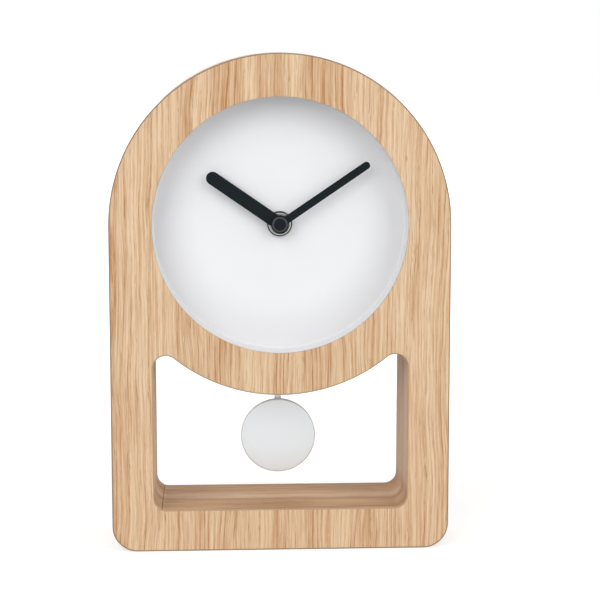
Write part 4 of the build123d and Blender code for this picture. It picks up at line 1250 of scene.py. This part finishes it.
class CLOCK_OT_power_cell(bpy.types.Operator):
    """One cell in a plain two-tone wrap, and its two contacts"""

    bl_idname = "clock.power_cell"
    bl_label = "Cell and contacts"

    def profile(self, wide, end, split):
        """Stretches of the cell's outline, in millimetres, each with its finish."""
        line = 0.01
        foot = [(0, 0.15), (4.4, 0.15), (4.6, 0), (6.0, 0), (6.3, 0.25)]
        wrap = [(6.6, 0.1), (wide - 0.2, 0.1), (wide, 0.35), (wide, split)]
        band = [(wide, split + line), (wide, end - 1.75)]
        band += [(wide - 0.2, end - 1.35), (6.5, end - 1.2)]
        top = [(6.4, end - 1.5), (5.6, end - 1.6), (5.2, end - 1.35), (3.2, end - 1.3)]
        top += [(2.95, end - 1.1), (2.75, end - 0.8), (2.75, end - 0.3), (2.5, end), (0, end)]
        return ((0, foot), (1, wrap), (2, band), (0, top))

    def execute(self, context):
        movement = look("movement")
        low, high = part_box("battery_cell")
        sizes = ((high.z - low.z) / 2, high.x - low.x, movement.wrap_length)
        stretches = self.profile(*(size / MM for size in sizes))
        loop = [(r * MM, d * MM) for _, stretch in stretches for r, d in stretch]
        kinds = [kind for kind, stretch in stretches for _ in stretch][:-1]
        mesh = turned("cell", loop, finishes=kinds)
        at = Matrix.Translation((low.x, (low.y + high.y) / 2, (low.z + high.z) / 2))
        mesh.transform(at @ Matrix.Rotation(radians(-90), 4, "Z"))
        steel = metal("cell steel", srgb(206, 206, 204), roughness=0.3)
        wrap = moulded("cell wrap", movement.wrap, Metallic=0.3)
        band = moulded("cell band", movement.wrap_band, Metallic=0.6)
        stand_in("cell", "battery_cell", mesh, steel, wrap, band)
        spring = metal("contact nickel", srgb(212, 208, 200), roughness=0.28)
        dress(spring, "positive_contact", "negative_contact")
        return {"FINISHED"}


class CLOCK_OT_pendulum(bpy.types.Operator):
    """Hanger with its magnet on the pivot pin, the flat rod and the domed bob"""

    bl_idname = "clock.pendulum"
    bl_label = "Pendulum"

    def bob(self, dome, ease):
        """A disc with a domed face and a rounded rim."""
        low, high, radius, centre = round_box("pendulum_bob")
        bend = (radius**2 + dome**2) / (2 * dome)
        steps = 24
        spots = [radius * i / steps for i in range(steps + 1)]
        face = [(r, low.y + bend - sqrt(bend**2 - r**2)) for r in spots]
        flat = (radius - 2 * MM, high.y, 0)
        rim = eased([(*face[-2], 0), (*face[-1], ease), (radius, high.y, ease), flat], steps=8)
        return turned("bob", face[:-2] + rim[1:] + [(0, high.y)], centre, steps=160)

    def execute(self, context):
        swing = look("pendulum")
        white = moulded("pendulum white", swing.white, Metallic=0.4)
        dark = moulded("hanger plastic", srgb(62, 62, 64))
        stand_in("hanger_arm", "pendulum_hanger", softened("pendulum_hanger", swing.ease), dark)
        stand_in("rod", "pendulum_rod", softened("pendulum_rod", swing.ease), white)
        stand_in("bob", "pendulum_bob", self.bob(swing.dome, swing.rim), white)
        pin = metal("pin steel", srgb(190, 190, 192), roughness=0.3, axis=PIVOT)
        dress(pin, "pivot_pin")
        dress(moulded("sintered magnet", srgb(92, 92, 94)), "hanger_magnet")
        return {"FINISHED"}


class CLOCK_OT_works(bpy.types.Operator):
    """Wheels, motor, coils and boards inside the movement"""

    bl_idname = "clock.works"
    bl_label = "Works"

    def drive_coil(self, wire, copper):
        """The round coil that drives the pendulum, on a plain core."""
        low, high, radius, centre = round_box("drive_winding")
        bore, core = 3.12 * MM, radius - 0.2 * MM
        tube = [(bore, low.y), (core, low.y), (core, high.y), (bore, high.y)]
        mesh = turned("drive_turns", tube, centre)
        pitch, first = 2 * wire, low.y + wire
        count = int((high.y - low.y) / pitch)
        return round_turns("drive_turns", mesh, copper, centre, first, count, pitch, radius, wire)

    def motor_coil(self, wire, copper):
        """The motor's coil, wound round a flat bar along X."""
        low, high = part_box("motor_winding")
        return repeated(
            "motor_turns",
            bpy.data.meshes.new("motor_turns"),
            turns_tree(),
            copper,
            Count=int((high.x - low.x) / (2 * wire)),
            Pitch=2 * wire,
            Width=high.z - low.z - 2 * wire,
            Height=high.y - low.y - 2 * wire,
            Corner=0.5 * MM,
            Wire=wire,
            Start=(low.x + wire, (low.y + high.y) / 2, (low.z + high.z) / 2),
            Turn=(0, radians(90), 0),
        )

    def execute(self, context):
        wire = look("movement").wire
        wheels = (
            "hour_wheel",
            "minute_wheel",
            "setting_pinion",
            "centre_wheel",
            "third_wheel",
            "seconds_wheel",
            "intermediate_wheel",
            "rotor_pinion",
        )
        dress(moulded("wheel nylon", srgb(232, 229, 220)), *wheels)
        dress(moulded("plate white", srgb(230, 228, 222)), "mid_plate")
        dress(moulded("rotor magnet", srgb(84, 84, 86)), "rotor_magnet")
        dress(moulded("bobbin plastic", srgb(216, 212, 200)), "motor_bobbin", "drive_bobbin")
        dress(moulded("board green", srgb(40, 104, 62)), "circuit_board", "driver_board")
        dress(moulded("chip epoxy", srgb(28, 28, 28)), "chip_cover")
        dress(metal("stator steel", srgb(186, 186, 188), roughness=0.38), "stator")
        dress(metal("crystal can", srgb(214, 214, 216), roughness=0.3), "crystal_can")
        copper = metal("coil copper", srgb(196, 116, 74), roughness=0.35)
        stand_in("drive_turns", "drive_winding", self.drive_coil(wire, copper))
        stand_in("motor_turns", "motor_winding", self.motor_coil(wire, copper))
        return {"FINISHED"}


class CLOCK_OT_studio(bpy.types.Operator):
    """Pale floor, three softboxes, even white surroundings and the camera"""

    bl_idname = "clock.studio"
    bl_label = "Studio"

    def seen(self, nodes):
        """One for rays that show the surroundings, and nothing for those that light the clock."""
        path = nodes.add("LightPath", {}).outputs
        shown = nodes.sum("MAXIMUM", path["Is Camera Ray"], path["Is Glossy Ray"])
        return nodes.sum("MAXIMUM", shown, path["Is Transmission Ray"])

    def softbox(self, name, at, power, width, height):
        """An area light that looks at the dial."""
        lamp = bpy.data.lights.new(name, "AREA")
        lamp.shape = "RECTANGLE"
        lamp.size, lamp.size_y = width, height
        lamp.energy = power
        item = linked(name, lamp)
        item.location = at
        aim = Vector((SHAFT[0], 0, SHAFT[1])) - Vector(at)
        item.rotation_euler = aim.to_track_quat("-Z", "Y").to_euler()

    def surroundings(self, studio):
        """A world that is seen as white and lights the clock by the ambient share."""
        world = bpy.data.worlds.new("surroundings")
        world.use_nodes = True
        nodes = Nodes(world.node_tree, "ShaderNode")
        strength = nodes.plus(self.seen(nodes), 1 - studio.ambient, studio.ambient)
        back = nodes.tree.nodes["Background"]
        nodes.feed(back, {"Color": (1, 1, 1, 1), "Strength": strength})
        return world

    def floor(self, studio):
        """A pale floor just under the clock, seen as white further away from it."""
        reach, low = 8.0, -0.05 * MM
        corners = [(-reach, -reach), (reach, -reach), (reach, reach), (-reach, reach)]
        mesh = bpy.data.meshes.new("floor")
        mesh.from_pydata([(x, y, low) for x, y in corners], [], [(0, 1, 2, 3)])
        sockets = {SPECULAR: 0.0, "Emission Color": (1, 1, 1, 1)}
        ground = Finish("floor", studio.floor, 0.9, **sockets)
        here = ground.add("TexCoord", {}).outputs["Object"]
        away = ground.add("VectorMath", {0: here}, operation="LENGTH").outputs["Value"]
        far = ground.span(away, studio.near, studio.spread, interpolation_type="SMOOTHSTEP")
        white = ground.plus(far, 1 - studio.glow, studio.glow)
        glow = ground.sum("MULTIPLY", white, self.seen(ground))
        ground.feed(ground.shader, {"Emission Strength": glow})
        mesh.materials.append(ground.material)
        return linked("floor", mesh)

    def camera(self, studio):
        """The camera at the place that the photograph was taken from."""
        camera = bpy.data.cameras.new("camera")
        camera.sensor_width = 36
        camera.lens = studio.lens
        item = linked("camera", camera)
        item.location = studio.camera
        item.rotation_euler = (pi / 2 - studio.pitch, 0, -studio.yaw)
        return item

    def execute(self, context):
        studio = look("studio")
        scene = context.scene
        scene.view_settings.view_transform = "Standard"
        self.softbox("left_light", (-3.0, -3.9, 3.2), studio.left, width=4.6, height=5.6)
        self.softbox("right_light", (4.0, -3.4, 2.7), studio.right, width=4.6, height=5.2)
        self.softbox("back_light", (0.0, 2.5, 1.9), studio.back, width=2.4, height=1.8)
        scene.world = self.surroundings(studio)
        self.floor(studio)
        scene.camera = self.camera(studio)
        return {"FINISHED"}


STEPS = (
    CLOCK_OT_studio,
    CLOCK_OT_case_boards,
    CLOCK_OT_edge_band,
    CLOCK_OT_window_lining,
    CLOCK_OT_dial_dish,
    CLOCK_OT_centre_nut,
    CLOCK_OT_hands,
    CLOCK_OT_movement_case,
    CLOCK_OT_cover_screws,
    CLOCK_OT_setting_knob,
    CLOCK_OT_power_cell,
    CLOCK_OT_pendulum,
    CLOCK_OT_works,
)
LOOKS = {
    "case": ClockCaseLook,
    "dial": ClockDialLook,
    "movement": ClockMovementLook,
    "pendulum": ClockPendulumLook,
    "studio": ClockStudioLook,
}


class CLOCK_PT_pieces(bpy.types.Panel):
    """Settings of the clock and the steps that build it"""

    bl_idname = "CLOCK_PT_pieces"
    bl_label = "Desk pendulum clock"
    bl_space_type = "VIEW_3D"
    bl_region_type = "UI"
    bl_category = "Clock"

    def draw(self, context):
        for part in LOOKS:
            box = self.layout.box()
            box.label(text=part.capitalize())
            settings = look(part)
            for key in settings.__annotations__:
                box.prop(settings, key)
        for step in STEPS:
            self.layout.operator(step.bl_idname)


CLASSES = (*LOOKS.values(), *STEPS, CLOCK_PT_pieces)


def register():
    for cls in CLASSES:
        bpy.utils.register_class(cls)
    for part, cls in LOOKS.items():
        setattr(bpy.types.Scene, f"clock_{part}", PointerProperty(type=cls))


def unregister():
    for part in LOOKS:
        delattr(bpy.types.Scene, f"clock_{part}")
    for cls in reversed(CLASSES):
        bpy.utils.unregister_class(cls)


def main():
    register()
    for step in STEPS:
        group, name = step.bl_idname.split(".")
        getattr(getattr(bpy.ops, group), name)()


if __name__ == "__main__":
    main()
